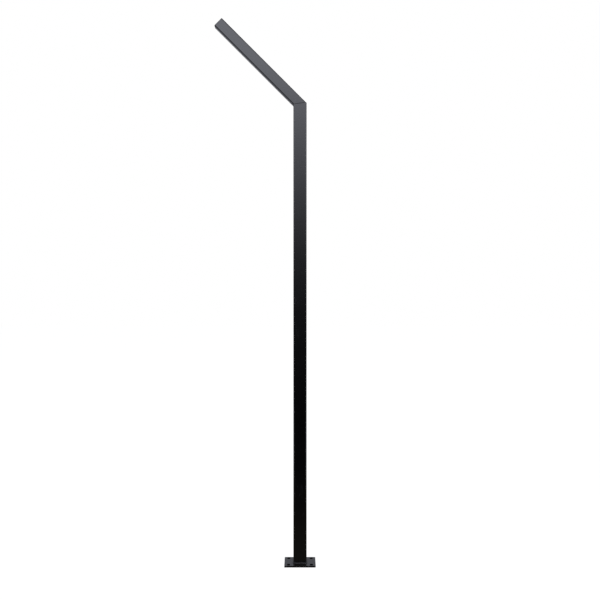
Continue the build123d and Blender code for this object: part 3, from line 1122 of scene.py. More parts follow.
@dataclass
class Post:
    """The square tube with its door opening, and the ground weld at its top."""

    joint: Joint
    corner: float = 10 * MM
    wall: float = 4 * MM
    plate: float = 5 * MM
    groove: float = 3 * MM
    groove_depth: float = 2 * MM
    proud: float = 0.03 * MM
    opening_gap: float = 1 * MM
    opening_corner: float = 12 * MM
    opening_edge: float = 0.5 * MM
    opening_share: float = 0.52

    def outline(self, inset: float) -> np.ndarray:
        """The post's outline, set in by a distance."""
        width = self.joint.post_width - 2 * inset
        return rounded_outline(width, width, self.corner - inset)

    def build_tube(self) -> None:
        """Tube whose rows run up its outside, over its cut top and down its inside.

        The edges that are rounded lie within opening_share of the door opening's size from its middle.
        """
        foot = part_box("post_tube")[0].z
        outside, neck, inside = self.outline(0), self.outline(self.groove_depth), self.outline(self.wall)
        shoulder = -self.plate - self.groove
        rows = [
            np.column_stack([outside, np.full(len(outside), foot)]),
            self.joint.prism_row(outside, shoulder),
            self.joint.prism_row(neck, shoulder),
            self.joint.prism_row(neck, -self.plate),
            self.joint.prism_row(inside, -self.plate),
            np.column_stack([inside, np.full(len(inside), foot)]),
        ]
        tube = skin("post_square_tube", lattice(np.stack(rows), ring=True))
        low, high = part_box("door_panel")
        width = high.x - low.x + 2 * self.opening_gap
        length = high.z - low.z + 2 * self.opening_gap
        middle = (low.z + high.z) / 2
        stand = facing_rear(self.joint.post_width / 2, middle)
        opening = rounded_outline(width, length, self.opening_corner)
        cut(tube, [prism(stand, opening, -2 * self.wall, self.wall)])
        reach = Vector((width, self.joint.post_width, length)) * self.opening_share
        lowest = (-reach.x, self.wall, middle - reach.z)
        soften(tube, self.opening_edge, lowest, (reach.x, reach.y, middle + reach.z))
        dress(tube, Coat.powder_coat, "post", "post_tube")

    def build_seam(self) -> None:
        """Butt weld ground almost flush: a ring whose outer face stands a hair proud in its middle."""
        low, high = -self.plate - self.groove, -self.plate
        outside, proud, neck = self.outline(0), self.outline(-self.proud), self.outline(self.groove_depth)
        rows = [
            self.joint.prism_row(outside, low),
            self.joint.prism_row(proud, (low + high) / 2),
            self.joint.prism_row(outside, high),
            self.joint.prism_row(neck, high),
            self.joint.prism_row(neck, low),
        ]
        seam = skin("post_seam_weld", lattice(np.stack(rows), ring=True))
        dress(seam, Coat.powder_coat, "post", "post_weld")


# ---------------------------------------------------------------------------------------------------
# The arm
# ---------------------------------------------------------------------------------------------------


@dataclass
class Arm:
    """Closing plate, mitred tube, the two ledge welds, the grommet and the end plug."""

    joint: Joint
    length: float = 908 * MM
    corner: float = 8 * MM
    wall: float = 4 * MM
    post_corner: float = 10 * MM
    plate: float = 5 * MM
    grommet_hole: float = 16 * MM
    grommet_bore: float = 10 * MM
    grommet_lip: float = 4 * MM
    grommet_lip_thick: float = 2.5 * MM
    grommet_round: float = 0.8 * MM
    grommet_columns: int = 96
    bead: Bead = field(default_factory=lambda: Bead(6 * MM))
    bead_stations: int = 260
    bead_taper: float = 6.0
    bead_least: float = 0.15
    plug_flange: float = 4 * MM
    plug_edge: float = 1 * MM
    plug_dome: float = 0.5 * MM
    plug_depth: float = 28 * MM
    plug_wall: float = 2.5 * MM
    plug_hollow_corner: float = 1 * MM
    plug_core: float = 70 * MM
    plug_core_corner: float = 3 * MM
    plug_lead: float = 0.5 * MM
    plug_rib: float = 71.7 * MM
    plug_rib_corner: float = 3.85 * MM
    plug_ribs: int = 4
    plug_rib_thick: float = 1.6 * MM
    dome_shares: tuple[float, float, int] = (0.92, 0.1, 9)

    def outline(self, inset: float) -> np.ndarray:
        """The arm's outline, set in by a distance."""
        width = self.joint.arm_width - 2 * inset
        return rounded_outline(width, width, self.corner - inset)

    def build_joint_plate(self) -> None:
        """Plate with the post's outline, between two parallel sloping planes, with a round hole."""
        width = self.joint.post_width
        outline = rounded_outline(width, width, self.post_corner)
        columns = len(outline)
        bearing = np.arctan2(outline[:, 1], outline[:, 0])
        hole = self.grommet_hole * np.stack([np.cos(bearing), np.sin(bearing)], axis=-1)
        local = np.column_stack([hole, np.zeros(columns)])
        rows = [
            self.joint.prism_row(outline, -self.plate),
            self.joint.prism_row(outline, 0.0),
            self.joint.slope_stand().place(local),
            self.joint.slope_stand(-self.plate).place(local),
        ]
        plate = skin("joint_closing_plate", lattice(np.stack(rows), ring=True))
        dress(plate, Coat.powder_coat, "post", "joint_plate")

    def build_tube(self) -> None:
        """Tube whose rows run out along its outside from the mitre, and back along its inside."""
        end = self.length - self.plug_flange
        stand = self.joint.arm_stand()
        outside, inside = self.outline(0), self.outline(self.wall)
        rows = [
            self.joint.mitre_row(outside),
            *stacked(stand, [(end, outside), (end, inside)]),
            self.joint.mitre_row(inside),
        ]
        tube = skin("arm_square_tube", lattice(np.stack(rows), ring=True))
        dress(tube, Coat.powder_coat, "post", "arm_tube")

    def build_welds(self) -> None:
        """A rippled bead on the ledge at each side of the arm.

        The bead's station is its distance up the slope. A point that rises off the ledge also moves with
        the arm's lean, so that the bead's ends follow the arm's flat side. The ends taper as the fourth
        root of bead_taper * (1 - (station / reach) squared), down to bead_least of the full section.
        """
        reach = self.joint.post_width / self.joint.arm_width * (self.joint.arm_width / 2 - self.corner)
        shear = (self.joint.arm_along @ self.joint.along_slope) / (self.joint.arm_along @ self.joint.normal)
        station = np.linspace(-reach, reach, self.bead_stations)
        taper = np.clip((1 - (station / reach) ** 2) * self.bead_taper, 0.0, 1.0) ** 0.25
        full = self.bead.section(station + reach, 2 * reach)
        section = full * np.maximum(taper, self.bead_least)[:, None, None]
        surfaces = []
        for side in (-1, 1):
            out, rise = section[..., 0], section[..., 1]
            along = station[:, None] + rise * shear
            across = side * (self.joint.arm_width / 2 + out)
            local = np.stack([along, across, rise], axis=-1)
            points = self.joint.slope_stand().place(local)
            surfaces.append(lattice(points if side < 0 else points[:, ::-1], caps=True))
        beads = skin("arm_weld_beads", joined(surfaces))
        dress(beads, Coat.powder_coat, "post", "arm_welds")

    def build_grommet(self) -> None:
        """Rubber ring turned about the plate's normal: a groove for the plate between two soft lips."""
        hole, bore, round_off = self.grommet_hole, self.grommet_bore, self.grommet_round
        wide = hole + self.grommet_lip
        inset, drop = quarter_round(round_off)
        top, foot = self.grommet_lip_thick, -self.plate - self.grommet_lip_thick
        profile = [(foot, bore + round_off)]
        profile += [(foot + d, wide - i) for i, d in zip(inset[::-1], drop[::-1])]
        profile += [(-self.plate, wide), (-self.plate, hole), (0.0, hole), (0.0, wide)]
        profile += [(top - d, wide - i) for i, d in zip(inset, drop)]
        profile += [(top, bore + round_off), (top - round_off, bore), (foot + round_off, bore)]
        rise, radius = np.array(profile).T
        rows = turned(self.joint.slope_stand(), rise, radius, self.grommet_columns)
        grommet = skin("joint_rubber_grommet", lattice(rows, ring=True))
        dress(grommet, Coat.black_rubber, "post", "joint_grommet")

    def build_plug(self) -> None:
        """Hollow ribbed plug as one stack: down the hollow's wall, round its rim, over ribs and flange.

        The flange's face is a shallow dome: at share s of its half width it is plug_dome * s squared
        lower than in its middle.
        """
        end = self.length - self.plug_flange
        foot = end - self.plug_depth
        hollow = (self.plug_core - 2 * self.plug_wall, self.plug_hollow_corner)
        core = (self.plug_core, self.plug_core_corner)
        rib = (self.plug_rib, self.plug_rib_corner)
        pitch = self.plug_depth / self.plug_ribs
        rim = (self.plug_core - 2 * self.plug_lead, self.plug_core_corner)
        stations = [(end, *hollow), (foot, *hollow), (foot, *rim), (foot + self.plug_lead, *core)]
        for number in reversed(range(self.plug_ribs)):
            top = end - (number + 0.5) * pitch
            low = top - self.plug_rib_thick
            stations += [(low, *core), (low + self.plug_lead, *rib), (top, *rib), (top, *core)]
        width = self.joint.arm_width
        stations += [(end, *core), (end, width, self.corner)]
        shoulder = self.length - self.plug_dome
        stations += [
            (shoulder - d, width - 2 * i, self.corner - i) for i, d in zip(*quarter_round(self.plug_edge))
        ]
        inner, inner_corner = width - 2 * self.plug_edge, self.corner - self.plug_edge
        stations += [
            (self.length - self.plug_dome * share**2, inner * share, inner_corner * share)
            for share in np.linspace(*self.dome_shares)
        ]
        rows = stacked(self.joint.arm_stand(), [(s, rounded_outline(w, w, r)) for s, w, r in stations])
        plug = skin("arm_plug_ribbed", lattice(rows, caps=True))
        dress(plug, Coat.black_plastic, "end_plug", "arm_end_plug")


# ---------------------------------------------------------------------------------------------------
# The service door
# ---------------------------------------------------------------------------------------------------


@dataclass
class Door:
    """Door panel, its foam seal and its captive screws."""

    corner: float = 11 * MM
    edge: float = 0.6 * MM
    screw_radius: float = 3 * MM
    screw_gap: float = 0.3 * MM
    screw_inset: float = 12 * MM
    head_radius: float = 5.25 * MM
    head_height: float = 3.3 * MM
    key_flats: float = 4 * MM
    key_depth: float = 2 * MM
    key_chamfer: float = 0.15 * MM
    pin_radius: float = 0.7 * MM
    pin_tip: float = 0.6
    pin_sink: tuple[float, float] = (0.5 * MM, 0.3 * MM)
    crown_share: float = 0.55
    rim_share: float = 0.2
    dome_rows: int = 9
    pitch: float = 1 * MM
    thread_depth: float = 0.45 * MM
    thread_rows: int = 8
    plain_turns: float = 1.5
    lead_depth: float = 1.2
    columns: int = 72
    seal_inset: float = 1 * MM
    seal_swell: float = 0.18 * MM
    seal_rows: int = 7
    window: tuple[float, float, float] = (46 * MM, 200 * MM, 8 * MM)
    retainer_hole: float = 6.3 * MM

    def __post_init__(self) -> None:
        """Read the door's place from the frame."""
        self.low, self.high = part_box("door_panel")
        self.width = self.high.x - self.low.x
        self.length = self.high.z - self.low.z
        self.middle = (self.low.z + self.high.z) / 2

    def screw_stands(self) -> dict[str, Stand]:
        """Where the two screws seat on the door's face.

        Returns:
            A stand for each screw's node.
        """
        offset = self.length / 2 - self.screw_inset
        return {
            "door_screw_upper": facing_rear(self.high.y, self.middle + offset),
            "door_screw_lower": facing_rear(self.high.y, self.middle - offset),
        }

    def build_panel(self) -> None:
        """Plate with round corners and a rolled front edge, drilled for its screws."""
        thick = self.high.y - self.low.y
        size = (self.width, self.length, self.corner)
        back = facing_rear(self.low.y, self.middle)
        panel = skin("service_door", rolled_slab(back, size, (0.0, thick), self.edge))
        hole = round_outline(self.screw_radius + self.screw_gap)
        cut(panel, [prism(stand, hole, -2 * thick, thick) for stand in self.screw_stands().values()])
        dress(panel, Coat.powder_coat, "service_door", "door_panel")

    def build_seal(self) -> None:
        """Foam ring whose two edges swell out between its skins.

        At share s of its thickness an edge is set in by swell * (1 - sin(pi s)), so that it reaches its
        full size half-way between the skins.
        """
        low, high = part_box("door_gasket")
        thick = high.y - low.y
        share = np.linspace(0, 1, self.seal_rows)
        swell = self.seal_swell * (np.sin(math.pi * share) - 1)
        width, length = self.width - 2 * self.seal_inset, self.length - 2 * self.seal_inset
        corner = self.corner - self.seal_inset
        hole_width, hole_length, hole_corner = self.window
        rows = [
            (thick * s, rounded_outline(width + 2 * w, length + 2 * w, corner + w))
            for s, w in zip(share, swell)
        ]
        rows += [
            (thick * s, rounded_outline(hole_width - 2 * w, hole_length - 2 * w, hole_corner - w))
            for s, w in zip(share[::-1], swell[::-1])
        ]
        back = facing_rear(low.y, self.middle)
        seal = skin("door_foam_seal", lattice(stacked(back, rows), ring=True))
        hole = round_outline(self.retainer_hole)
        depth = self.high.y - low.y + thick
        cut(seal, [prism(stand, hole, -depth, thick) for stand in self.screw_stands().values()])
        dress(seal, Coat.gasket_foam, "service_door", "door_gasket")

    def build_screws(self) -> None:
        """Button-head screws with a helical thread and a pinned hexagon socket.

        The thread's radius falls by the thread's depth times a triangle wave of (distance / pitch minus
        angle / turn), which fades out below the head. The head is a quarter ellipse, and the socket's
        rows change from round to hexagon, and back to round for the pin.
        """
        bend = np.linspace(0, math.pi / 2, self.dome_rows)
        crown = self.crown_share * self.head_radius
        dome_radius = crown + (self.head_radius - crown) * np.cos(bend)
        dome_rise = self.head_height * (self.rim_share + (1 - self.rim_share) * np.sin(bend))
        hexagon = hexagon_radius(self.key_flats, self.columns)[None, :]
        top, floor = self.head_height, self.head_height - self.key_depth
        socket_rise = [top, top - self.key_chamfer, floor, floor, *(top - sink for sink in self.pin_sink)]
        ones = np.ones((1, self.columns))
        for name, stand in self.screw_stands().items():
            shank = self.high.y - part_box(name)[0].y
            rise = np.linspace(-shank, 0.0, round(self.thread_rows * shank / self.pitch), endpoint=False)
            wave = thread_wave(rise, self.pitch, self.columns)
            lead = np.clip((rise + shank) / self.pitch, 0.0, 1.0)[:, None]
            fade = np.clip(-rise / self.pitch - self.plain_turns, 0.0, 1.0)[:, None]
            fall = wave * fade + (1 - lead) * self.lead_depth
            thread = self.screw_radius - self.thread_depth * fall
            radius = np.concatenate(
                [
                    thread,
                    self.screw_radius * ones,
                    self.head_radius * ones,
                    dome_radius[:, None] * ones,
                    hexagon + self.key_chamfer,
                    hexagon,
                    hexagon,
                    self.pin_radius * ones,
                    self.pin_radius * ones,
                    self.pin_tip * self.pin_radius * ones,
                ]
            )
            heights = np.concatenate([rise, [0.0, 0.0], dome_rise, socket_rise])
            rows = turned(stand, heights, radius, self.columns)
            screw = skin(f"{name}_threaded", lattice(rows, caps=True))
            body = "upper_screw" if name.endswith("upper") else "lower_screw"
            dress(screw, Coat.stainless, body, name)


# ---------------------------------------------------------------------------------------------------
# The earth terminal and the cable glands
# ---------------------------------------------------------------------------------------------------


@dataclass
class Earth:
    """Threaded stud with its two nuts."""

    radius: float = 4 * MM
    pitch: float = 1.25 * MM
    thread_depth: float = 0.6 * MM
    thread_rows: int = 161
    lead_depth: float = 1.5
    flats: float = 13 * MM
    nut: float = 6.5 * MM
    nut_gap: float = 0.05 * MM
    stack: float = 3.2 * MM
    cone_steps: tuple[float, ...] = (0.0, 0.06, 0.12, 0.18)
    cone_start: float = 0.97
    cone_growth: float = 1.05
    columns: int = 72

    def __post_init__(self) -> None:
        """Read the stud's place from the frame."""
        low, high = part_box("earth_stud")
        self.length = high.y - low.y
        self.stand = facing_rear(low.y, (low.z + high.z) / 2)

    def build_stud(self) -> None:
        """Stud with a helical thread: the radius falls by depth times a triangle wave of rise and angle."""
        rise = np.linspace(0, self.length, self.thread_rows)
        wave = thread_wave(rise, self.pitch, self.columns)
        tip = np.clip((rise - self.length) / self.pitch + 1, 0, 1)[:, None]
        radius = self.radius - self.thread_depth * (wave * (1 - tip) + self.lead_depth * tip)
        rows = turned(self.stand, rise, radius, self.columns)
        stud = skin("earth_stud_threaded", lattice(rows, caps=True))
        dress(stud, Coat.stainless, "post", "earth_stud")

    def build_nuts(self) -> None:
        """Hexagon nuts whose corners are cut by a cone at both faces, with a round bore.

        At share s of the nut's height from its nearer face the cone's radius is half the flats times
        cone_start + cone_growth * s, and the nut's is the lesser of that and the hexagon's.
        """
        hexagon = hexagon_radius(self.flats, self.columns)
        bore = np.full(self.columns, self.radius + self.nut_gap)
        steps = np.array(self.cone_steps)
        share = np.concatenate([steps, 1 - steps[::-1]])
        cone = self.flats / 2 * (self.cone_start + self.cone_growth * np.minimum(share, 1 - share))
        outside = np.minimum(hexagon[None, :], cone[:, None])
        radius = np.concatenate([outside, bore[None, :], bore[None, :]])
        surfaces = []
        for start in (0.0, self.nut + self.stack):
            rise = start + self.nut * np.concatenate([share, [1.0, 0.0]])
            surfaces.append(lattice(turned(self.stand, rise, radius, self.columns), ring=True))
        dress(skin("earth_hexagon_nuts", joined(surfaces)), Coat.brass, "post", "earth_nuts")


@dataclass
class Gland:
    """Cable gland: spigot, hexagon collar, and a nut whose six flats run out into a round nose."""

    name: str
    downward: bool
    spigot_radius: float = 10 * MM
    spigot: float = 8 * MM
    flats: float = 22 * MM
    collar: float = 4 * MM
    chamfer: float = 0.6 * MM
    nut_flats: float = 19 * MM
    nut: float = 16 * MM
    nut_straight: float = 0.5
    corner_share: float = 1.12
    neck_share: float = 0.94
    nose_radius: float = 8.5 * MM
    nose_rows: int = 9
    bore: float = 6 * MM
    columns: int = 96

    def build(self) -> None:
        """One turned ring: up the outside over collar, nut and nose, then down the bore.

        The hexagons' corners are turned down to corner_share of half their flats. Along the nut, at share
        s past its straight part, the radius goes from the hexagon to the nose's circle by s squared.
        """
        low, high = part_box(self.name)
        middle = ((low.x + high.x) / 2, (low.y + high.y) / 2)
        if self.downward:
            stand = Stand((*middle, high.z - self.spigot), (1, 0, 0), (0, -1, 0))
        else:
            stand = Stand((*middle, low.z + self.spigot), (1, 0, 0), (0, 1, 0))
        ring = np.ones(self.columns)
        collar, nut = (
            np.minimum(hexagon_radius(flats, self.columns), flats / 2 * self.corner_share)
            for flats in (self.flats, self.nut_flats)
        )
        neck = self.nut_flats / 2 * self.neck_share
        top = self.collar + self.nut
        rows = [
            (-self.spigot, self.spigot_radius * ring),
            (0.0, self.spigot_radius * ring),
            (0.0, collar - self.chamfer),
            (self.chamfer, collar),
            (self.collar - self.chamfer, collar),
            (self.collar, collar - self.chamfer),
            (self.collar, neck * ring),
            (self.collar + self.chamfer, neck * ring),
            (self.collar + self.chamfer, nut - self.chamfer),
            (self.collar + 2 * self.chamfer, nut),
        ]
        start = self.collar + self.nut * self.nut_straight
        for share in np.linspace(0, 1, self.nose_rows):
            blend = nut * (1 - share**2) + self.nose_radius * share**2
            rows.append((start + (top - self.chamfer - start) * share, blend))
        rows += [
            (top, (self.nose_radius - self.chamfer) * ring),
            (top, (self.bore + self.chamfer) * ring),
            (top - self.chamfer, self.bore * ring),
            (-self.spigot, self.bore * ring),
        ]
        rise = np.array([where for where, _ in rows])
        radius = np.stack([row for _, row in rows])
        surface = lattice(turned(stand, rise, radius, self.columns), ring=True)
        gland = skin(f"{self.name}_nut_and_collar", surface)
        dress(gland, Coat.gland_plastic, "post", self.name)


# ---------------------------------------------------------------------------------------------------
# The fused cut-out
# ---------------------------------------------------------------------------------------------------


@dataclass
class Cutout:
    """Housing with its carrier pocket, sunk terminals and gland bores, and the carrier's grip ribs."""

    corner: float = 3 * MM
    edge: float = 0.9 * MM
    hole_edge: float = 0.3 * MM
    face_band: float = 0.1 * MM
    pocket: tuple[float, float, float] = (26 * MM, 52 * MM, 2.3 * MM)
    pocket_depth: float = 22 * MM
    terminal_x: float = 8 * MM
    terminal_inset: float = 14.5 * MM
    terminal_sink: tuple[float, float] = (4.5 * MM, 5 * MM)
    terminal_bore: tuple[float, float] = (2.55 * MM, 23 * MM)
    screw_x: float = 15.5 * MM
    screw_inset: float = 6 * MM
    screw_sink: tuple[float, float] = (4 * MM, 12.6 * MM)
    screw_bore: float = 2.05 * MM
    gland_radius: float = 10.05 * MM
    gland_depth: float = 8 * MM
    gland_offset: float = 2 * MM
    grip_side: float = 6 * MM
    grip_reach: float = 14 * MM
    rib_radius: float = 0.55 * MM
    rib_rises: tuple[float, ...] = (4.3 * MM, 5.8 * MM, 7.3 * MM)
    rib_end: float = 0.999
    rib_rows: int = 25
    rib_columns: int = 16

    def __post_init__(self) -> None:
        """Read the housing's place from the frame."""
        self.low, self.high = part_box("cutout_base")
        self.length = self.high.z - self.low.z
        self.middle = (self.low.z + self.high.z) / 2
        self.front = facing_rear(self.high.y, self.middle)

    def sunk(self, x: float, z: float, size: tuple[float, float]) -> tuple[np.ndarray, Faces]:
        """Cutter for a round hole in the front, size being its radius and depth."""
        radius, depth = size
        return prism(self.front, round_outline(radius, x, z), -depth, depth)

    def build_housing(self) -> None:
        """Block with round corners and a rolled front edge, cut by its pocket, sinks and bores."""
        width, deep = self.high.x - self.low.x, self.high.y - self.low.y
        size = (width, self.length, self.corner)
        housing = skin("cutout_housing", rolled_slab(self.front, size, (-deep, 0.0), self.edge))
        terminal_z = self.length / 2 - self.terminal_inset
        terminals = [(x, z) for x in (-self.terminal_x, self.terminal_x) for z in (-terminal_z, terminal_z)]
        screw_z = self.length / 2 - self.screw_inset
        screws = [(-self.screw_x, screw_z), (self.screw_x, -screw_z)]
        sinks = [prism(self.front, rounded_outline(*self.pocket), -self.pocket_depth, deep)]
        sinks += [self.sunk(x, z, self.terminal_sink) for x, z in terminals]
        sinks += [self.sunk(x, z, self.screw_sink) for x, z in screws]
        gland_y = (self.low.y + self.high.y) / 2 + self.gland_offset
        bore = round_outline(self.gland_radius, 0.0, gland_y)
        for end in (self.low.z, self.high.z):
            level = Stand((0, 0, end), (1, 0, 0), (0, 1, 0))
            sinks.append(prism(level, bore, -self.gland_depth, self.gland_depth))
        cut(housing, sinks)
        bores = [self.sunk(x, z, self.terminal_bore) for x, z in terminals]
        bores += [self.sunk(x, z, (self.screw_bore, 2 * deep)) for x, z in screws]
        cut(housing, bores)
        reach_x, reach_z = width / 2 - 2 * self.edge, self.length / 2 - 2 * self.edge
        lowest = (-reach_x, self.high.y - self.face_band, self.middle - reach_z)
        highest = (reach_x, self.high.y + self.face_band, self.middle + reach_z)
        soften(housing, self.hole_edge, lowest, highest)
        dress(housing, Coat.cutout_plastic, "post", "cutout_base")

    def build_grip_ribs(self) -> None:
        """Slim ribs along both sides of the carrier's grip.

        A rib is turned about its own length: at share s from its middle to its end, its radius is
        rib_radius times the square root of 1 - s to the eighth.
        """
        share = np.linspace(-self.rib_end, self.rib_end, self.rib_rows)
        radius = self.rib_radius * np.sqrt(1 - share**8)
        surfaces = []
        for side in (-self.grip_side, self.grip_side):
            for rise in self.rib_rises:
                stand = Stand((side, self.high.y + rise, self.middle), (1, 0, 0), (0, 1, 0))
                rows = turned(stand, share * self.grip_reach, radius, self.rib_columns)
                surfaces.append(lattice(rows, caps=True))
        dress(skin("carrier_grip_ribs", joined(surfaces)), Coat.carrier_plastic, "carrier")


# ---------------------------------------------------------------------------------------------------
# What the frame's own shapes are dressed with
# ---------------------------------------------------------------------------------------------------


def dress_frame_nodes() -> None:
    """Give every node of the frame that still shows the finish of its material slot."""
    for row in frame["record"]["subparts"]:
        node = frame["nodes"][row["node"]]
        if node.hide_render:
            continue
        coat = Coat[row["material_slot"]]
        node.data.materials.clear()
        node.data.materials.append(MATERIALS[coat])
        log.info("%s keeps its own shape, dressed as %s", node.name, coat.name)


# ---------------------------------------------------------------------------------------------------
# Studio
# ---------------------------------------------------------------------------------------------------


@dataclass
class Studio:
    """Pale floor, white surroundings, a soft sky for what shines, one lamp and the camera.

    A wall behind the camera, which the camera doesn't see, grows brighter with height. With the dark sweep
    of floor before it, it gives the post its long gradient. The sky's level goes by a direction's rise,
    which is the sine of its elevation.
    """

    camera_distance: float = 6.842
    camera_height: float = 1.999
    lens: float = 54.0
    sensor: float = 36.0
    sight: float = 400.0
    lamp_side: float = 5.0
    lamp_power: float = 90.0
    lamp_place: tuple[float, float, float] = (0.0, 0.5, 8.0)
    floor_half: float = 60.0
    floor_glow: float = 0.95
    floor_tone: float = 0.12
    # Insets from the plate's edge over which the floor's painted shadow under the plate fades in.
    under_plate: tuple[float, float] = (6 * MM, 1 * MM)
    behind: tuple[float, float] = (0.3, 1.5)
    beside: tuple[float, float] = (1.0, 3.0)
    far_beside: tuple[float, float] = (7.0, 10.0)
    far_fall: float = 0.7
    beside_share: float = 1.5
    paler_level: float = 0.3
    warm_reach: tuple[float, float] = (5.0, 1.5)
    tint: Colour = (0.94, 0.965, 1.08)
    warm_floor: Colour = (1.08, 0.98, 0.8)
    floor_levels: tuple[tuple[float, float], ...] = (
        (0.0, 0.1), (0.7, 0.1), (2.0, 0.05), (4.5, 0.012), (10.0, 0.014), (26.0, 0.06), (60.0, 0.1),
    )
    wall_depth: float = 8.0
    wall_half: float = 40.0
    wall_top: float = 10.0
    wall_levels: tuple[tuple[float, float], ...] = (
        (0.0, 0.013), (0.27, 0.014), (1.1, 0.06), (1.56, 0.1), (2.0, 0.13), (2.74, 0.33), (3.48, 0.78),
        (4.31, 1.5), (5.01, 2.5), (5.81, 3.5), (6.98, 3.8), (8.82, 1.2), (10.0, 1.0),
    )
    sky_levels: tuple[tuple[float, float], ...] = (
        (-1.0, 0.02), (-0.14, 0.03), (-0.02, 0.2), (0.02, 0.3), (0.3, 0.32), (0.5, 0.5), (1.0, 0.42),
    )

    def build_floor(self) -> None:
        """Level floor: nearly white to the eye, with a painted shadow under the plate, and dim to what
        shines above it.

        What shines sees it darkest in front, and paler behind and to the sides. Each mask runs from 0 to
        1 between two distances: in from the plate's edge, which gives the painted shadow under the plate,
        behind the post, beside it, and far out beside it, where the level falls again. Near the post the
        glow is warmer.
        """
        half = self.floor_half
        corners = np.array([[-half, -half, 0], [half, -half, 0], [half, half, 0], [-half, half, 0]])
        floor = skin("studio_floor", (corners, [(0, 1, 2, 3)]))
        material, graph = new_material("pale_floor")
        place = object_place(graph)
        axes = graph.axes(place)
        across, depth = (graph.maths("ABSOLUTE", axes[axis]) for axis in "XY")
        plate_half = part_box("base_plate")[1].x
        shade = (plate_half - inside for inside in self.under_plate)
        # Painted shadow under the plate: 0 inside the plate's footprint and 1 outside it. It darkens both of
        # the floor's glows.
        clear = graph.spread(graph.maths("MAXIMUM", across, depth), *shade)
        pale = graph.add("BsdfDiffuse")
        pale.inputs["Color"].default_value = (*(3 * (self.floor_tone,)), 1.0)
        glow = graph.add("Emission")
        graph.join(graph.maths("MULTIPLY", clear, self.floor_glow), glow.inputs["Strength"])
        both = graph.add("AddShader")
        graph.join(pale.outputs[0], both.inputs[0])
        graph.join(glow.outputs[0], both.inputs[1])
        behind = graph.spread(axes["Y"], *self.behind)
        beside = graph.spread(across, *self.beside)
        fall = graph.maths("MULTIPLY", graph.spread(across, *self.far_beside), self.far_fall)
        flank = graph.maths("MULTIPLY", beside, graph.maths("SUBTRACT", 1.0, fall))
        paler = graph.maths("MAXIMUM", behind, graph.maths("MULTIPLY", flank, self.beside_share))
        length = graph.add("VectorMath", operation="LENGTH")
        graph.join(place, length.inputs[0])
        reach = length.outputs["Value"]
        near = self.stops(graph, reach, self.floor_levels)
        dim = graph.add("Emission")
        warm = graph.tones(graph.spread(reach, *self.warm_reach), self.tint, self.warm_floor)
        graph.join(warm, dim.inputs["Color"])
        level = graph.maths("ADD", graph.maths("MULTIPLY", paler, self.paler_level), near)
        graph.join(graph.maths("MULTIPLY", level, clear), dim.inputs["Strength"])
        graph.end(self.parted(graph, dim, both))
        floor.data.materials.append(material)

    def build_wall(self) -> None:
        """Glowing wall behind the camera, clear to the camera itself."""
        half, top, y = self.wall_half, self.wall_top, -self.wall_depth
        corners = np.array([[half, y, 0], [-half, y, 0], [-half, y, top], [half, y, top]])
        wall = skin("studio_wall", (corners, [(0, 1, 2, 3)]))
        material, graph = new_material("glowing_wall")
        height = graph.axes(object_place(graph))["Z"]
        glow = graph.add("Emission")
        glow.inputs["Color"].default_value = (*self.tint, 1.0)
        graph.join(self.stops(graph, height, self.wall_levels), glow.inputs["Strength"])
        graph.end(self.parted(graph, glow, graph.add("BsdfTransparent")))
        wall.data.materials.append(material)

    def parted(self, graph: Graph, others: bpy.types.Node, camera: bpy.types.Node) -> bpy.types.Node:
        """One shader for the camera's rays and another for all other rays.

        Args:
            graph: The graph.
            others: Shader for the other rays.
            camera: Shader for the camera's rays.

        Returns:
            The node that chooses.
        """
        choose = graph.add("MixShader")
        graph.join(graph.add("LightPath").outputs["Is Camera Ray"], choose.inputs[0])
        graph.join(others.outputs[0], choose.inputs[1])
        graph.join(camera.outputs[0], choose.inputs[2])
        return choose

    def stops(
        self, graph: Graph, value: bpy.types.NodeSocket, levels: Sequence[tuple[float, float]]
    ) -> bpy.types.NodeSocket:
        """A level that runs straight from stop to stop.

        Args:
            graph: The graph.
            value: What the level goes by.
            levels: Pairs of value and level, in order.

        Returns:
            The level.
        """
        ramp = graph.add("ValToRGB")
        first, last = levels[0][0], levels[-1][0]
        peak = max(level for _, level in levels)
        stops = ramp.color_ramp.elements
        stops.remove(stops[1])
        stops[0].position = 0.0
        stops[0].color = (*(3 * (levels[0][1] / peak,)), 1.0)
        for where, level in levels[1:]:
            stops.new((where - first) / (last - first)).color = (*(3 * (level / peak,)), 1.0)
        graph.join(graph.spread(value, first, last), ramp.inputs[0])
        return graph.maths("MULTIPLY", ramp.outputs["Color"], peak)

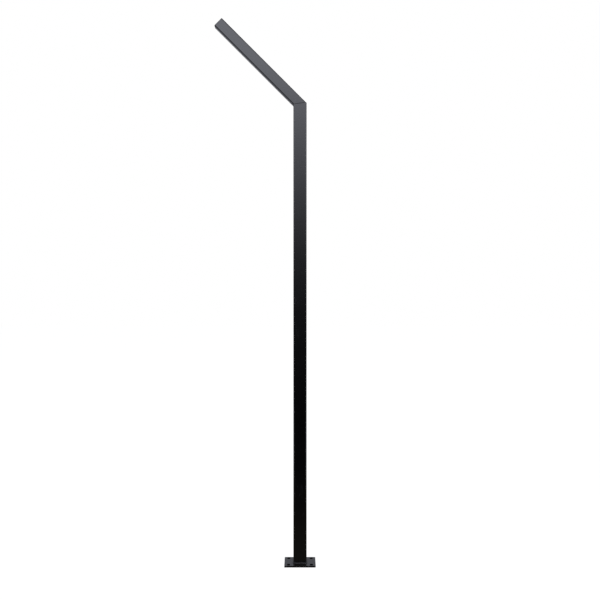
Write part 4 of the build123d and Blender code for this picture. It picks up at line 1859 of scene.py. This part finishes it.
    def build_world(self) -> None:
        """White to the camera, and a soft sky to everything else."""
        world = bpy.data.worlds.new("studio")
        bpy.context.scene.world = world
        world.use_nodes = True
        world.node_tree.nodes.clear()
        graph = Graph(world.node_tree)
        rise = graph.axes(graph.add("TexCoord").outputs["Generated"])["Z"]
        dim = graph.add("Background")
        dim.inputs["Color"].default_value = (*self.tint, 1.0)
        graph.join(self.stops(graph, rise, self.sky_levels), dim.inputs["Strength"])
        white = graph.add("Background")
        white.inputs["Color"].default_value = (1.0, 1.0, 1.0, 1.0)
        graph.end(self.parted(graph, dim, white), "OutputWorld")

    def build_lamp(self) -> None:
        """One large soft lamp high up, for the faint shade on the floor."""
        light = bpy.data.lights.new("overhead_softbox", "AREA")
        light.shape = "RECTANGLE"
        light.size = light.size_y = self.lamp_side
        light.energy = self.lamp_power
        lamp = bpy.data.objects.new("overhead_softbox", light)
        bpy.context.scene.collection.objects.link(lamp)
        lamp.location = self.lamp_place
        lamp.visible_glossy = False

    def build_camera(self) -> None:
        """Level camera in front of the post."""
        lens = bpy.data.cameras.new("camera")
        lens.lens = self.lens
        lens.sensor_width = self.sensor
        lens.clip_end = self.sight
        camera = bpy.data.objects.new("camera", lens)
        bpy.context.scene.collection.objects.link(camera)
        camera.location = (0.0, -self.camera_distance, self.camera_height)
        camera.rotation_euler = (math.pi / 2, 0.0, 0.0)
        bpy.context.scene.camera = camera

    def build(self) -> None:
        """Everything round the object."""
        self.build_camera()
        self.build_floor()
        self.build_wall()
        self.build_world()
        self.build_lamp()
        bpy.context.scene.view_settings.view_transform = "Standard"


def main() -> None:
    """Build the studio and the lamp post, in order."""
    logging.basicConfig(level=logging.INFO, format="%(message)s")
    Studio().build()
    post_low, post_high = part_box("post_tube")
    arm_low, arm_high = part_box("arm_tube")
    joint = Joint(post_high.x - post_low.x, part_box("joint_plate")[1].z, arm_high.y - arm_low.y)
    foot = Foot(joint)
    foot.build_plate()
    foot.build_weld()
    post = Post(joint)
    post.build_tube()
    post.build_seam()
    arm = Arm(joint)
    arm.build_joint_plate()
    arm.build_tube()
    arm.build_welds()
    arm.build_grommet()
    arm.build_plug()
    door = Door()
    door.build_panel()
    door.build_seal()
    door.build_screws()
    earth = Earth()
    earth.build_stud()
    earth.build_nuts()
    Gland("supply_gland", downward=True).build()
    Gland("lamp_gland", downward=False).build()
    cutout = Cutout()
    cutout.build_housing()
    cutout.build_grip_ribs()
    dress_frame_nodes()


if __name__ == "__main__":
    main()
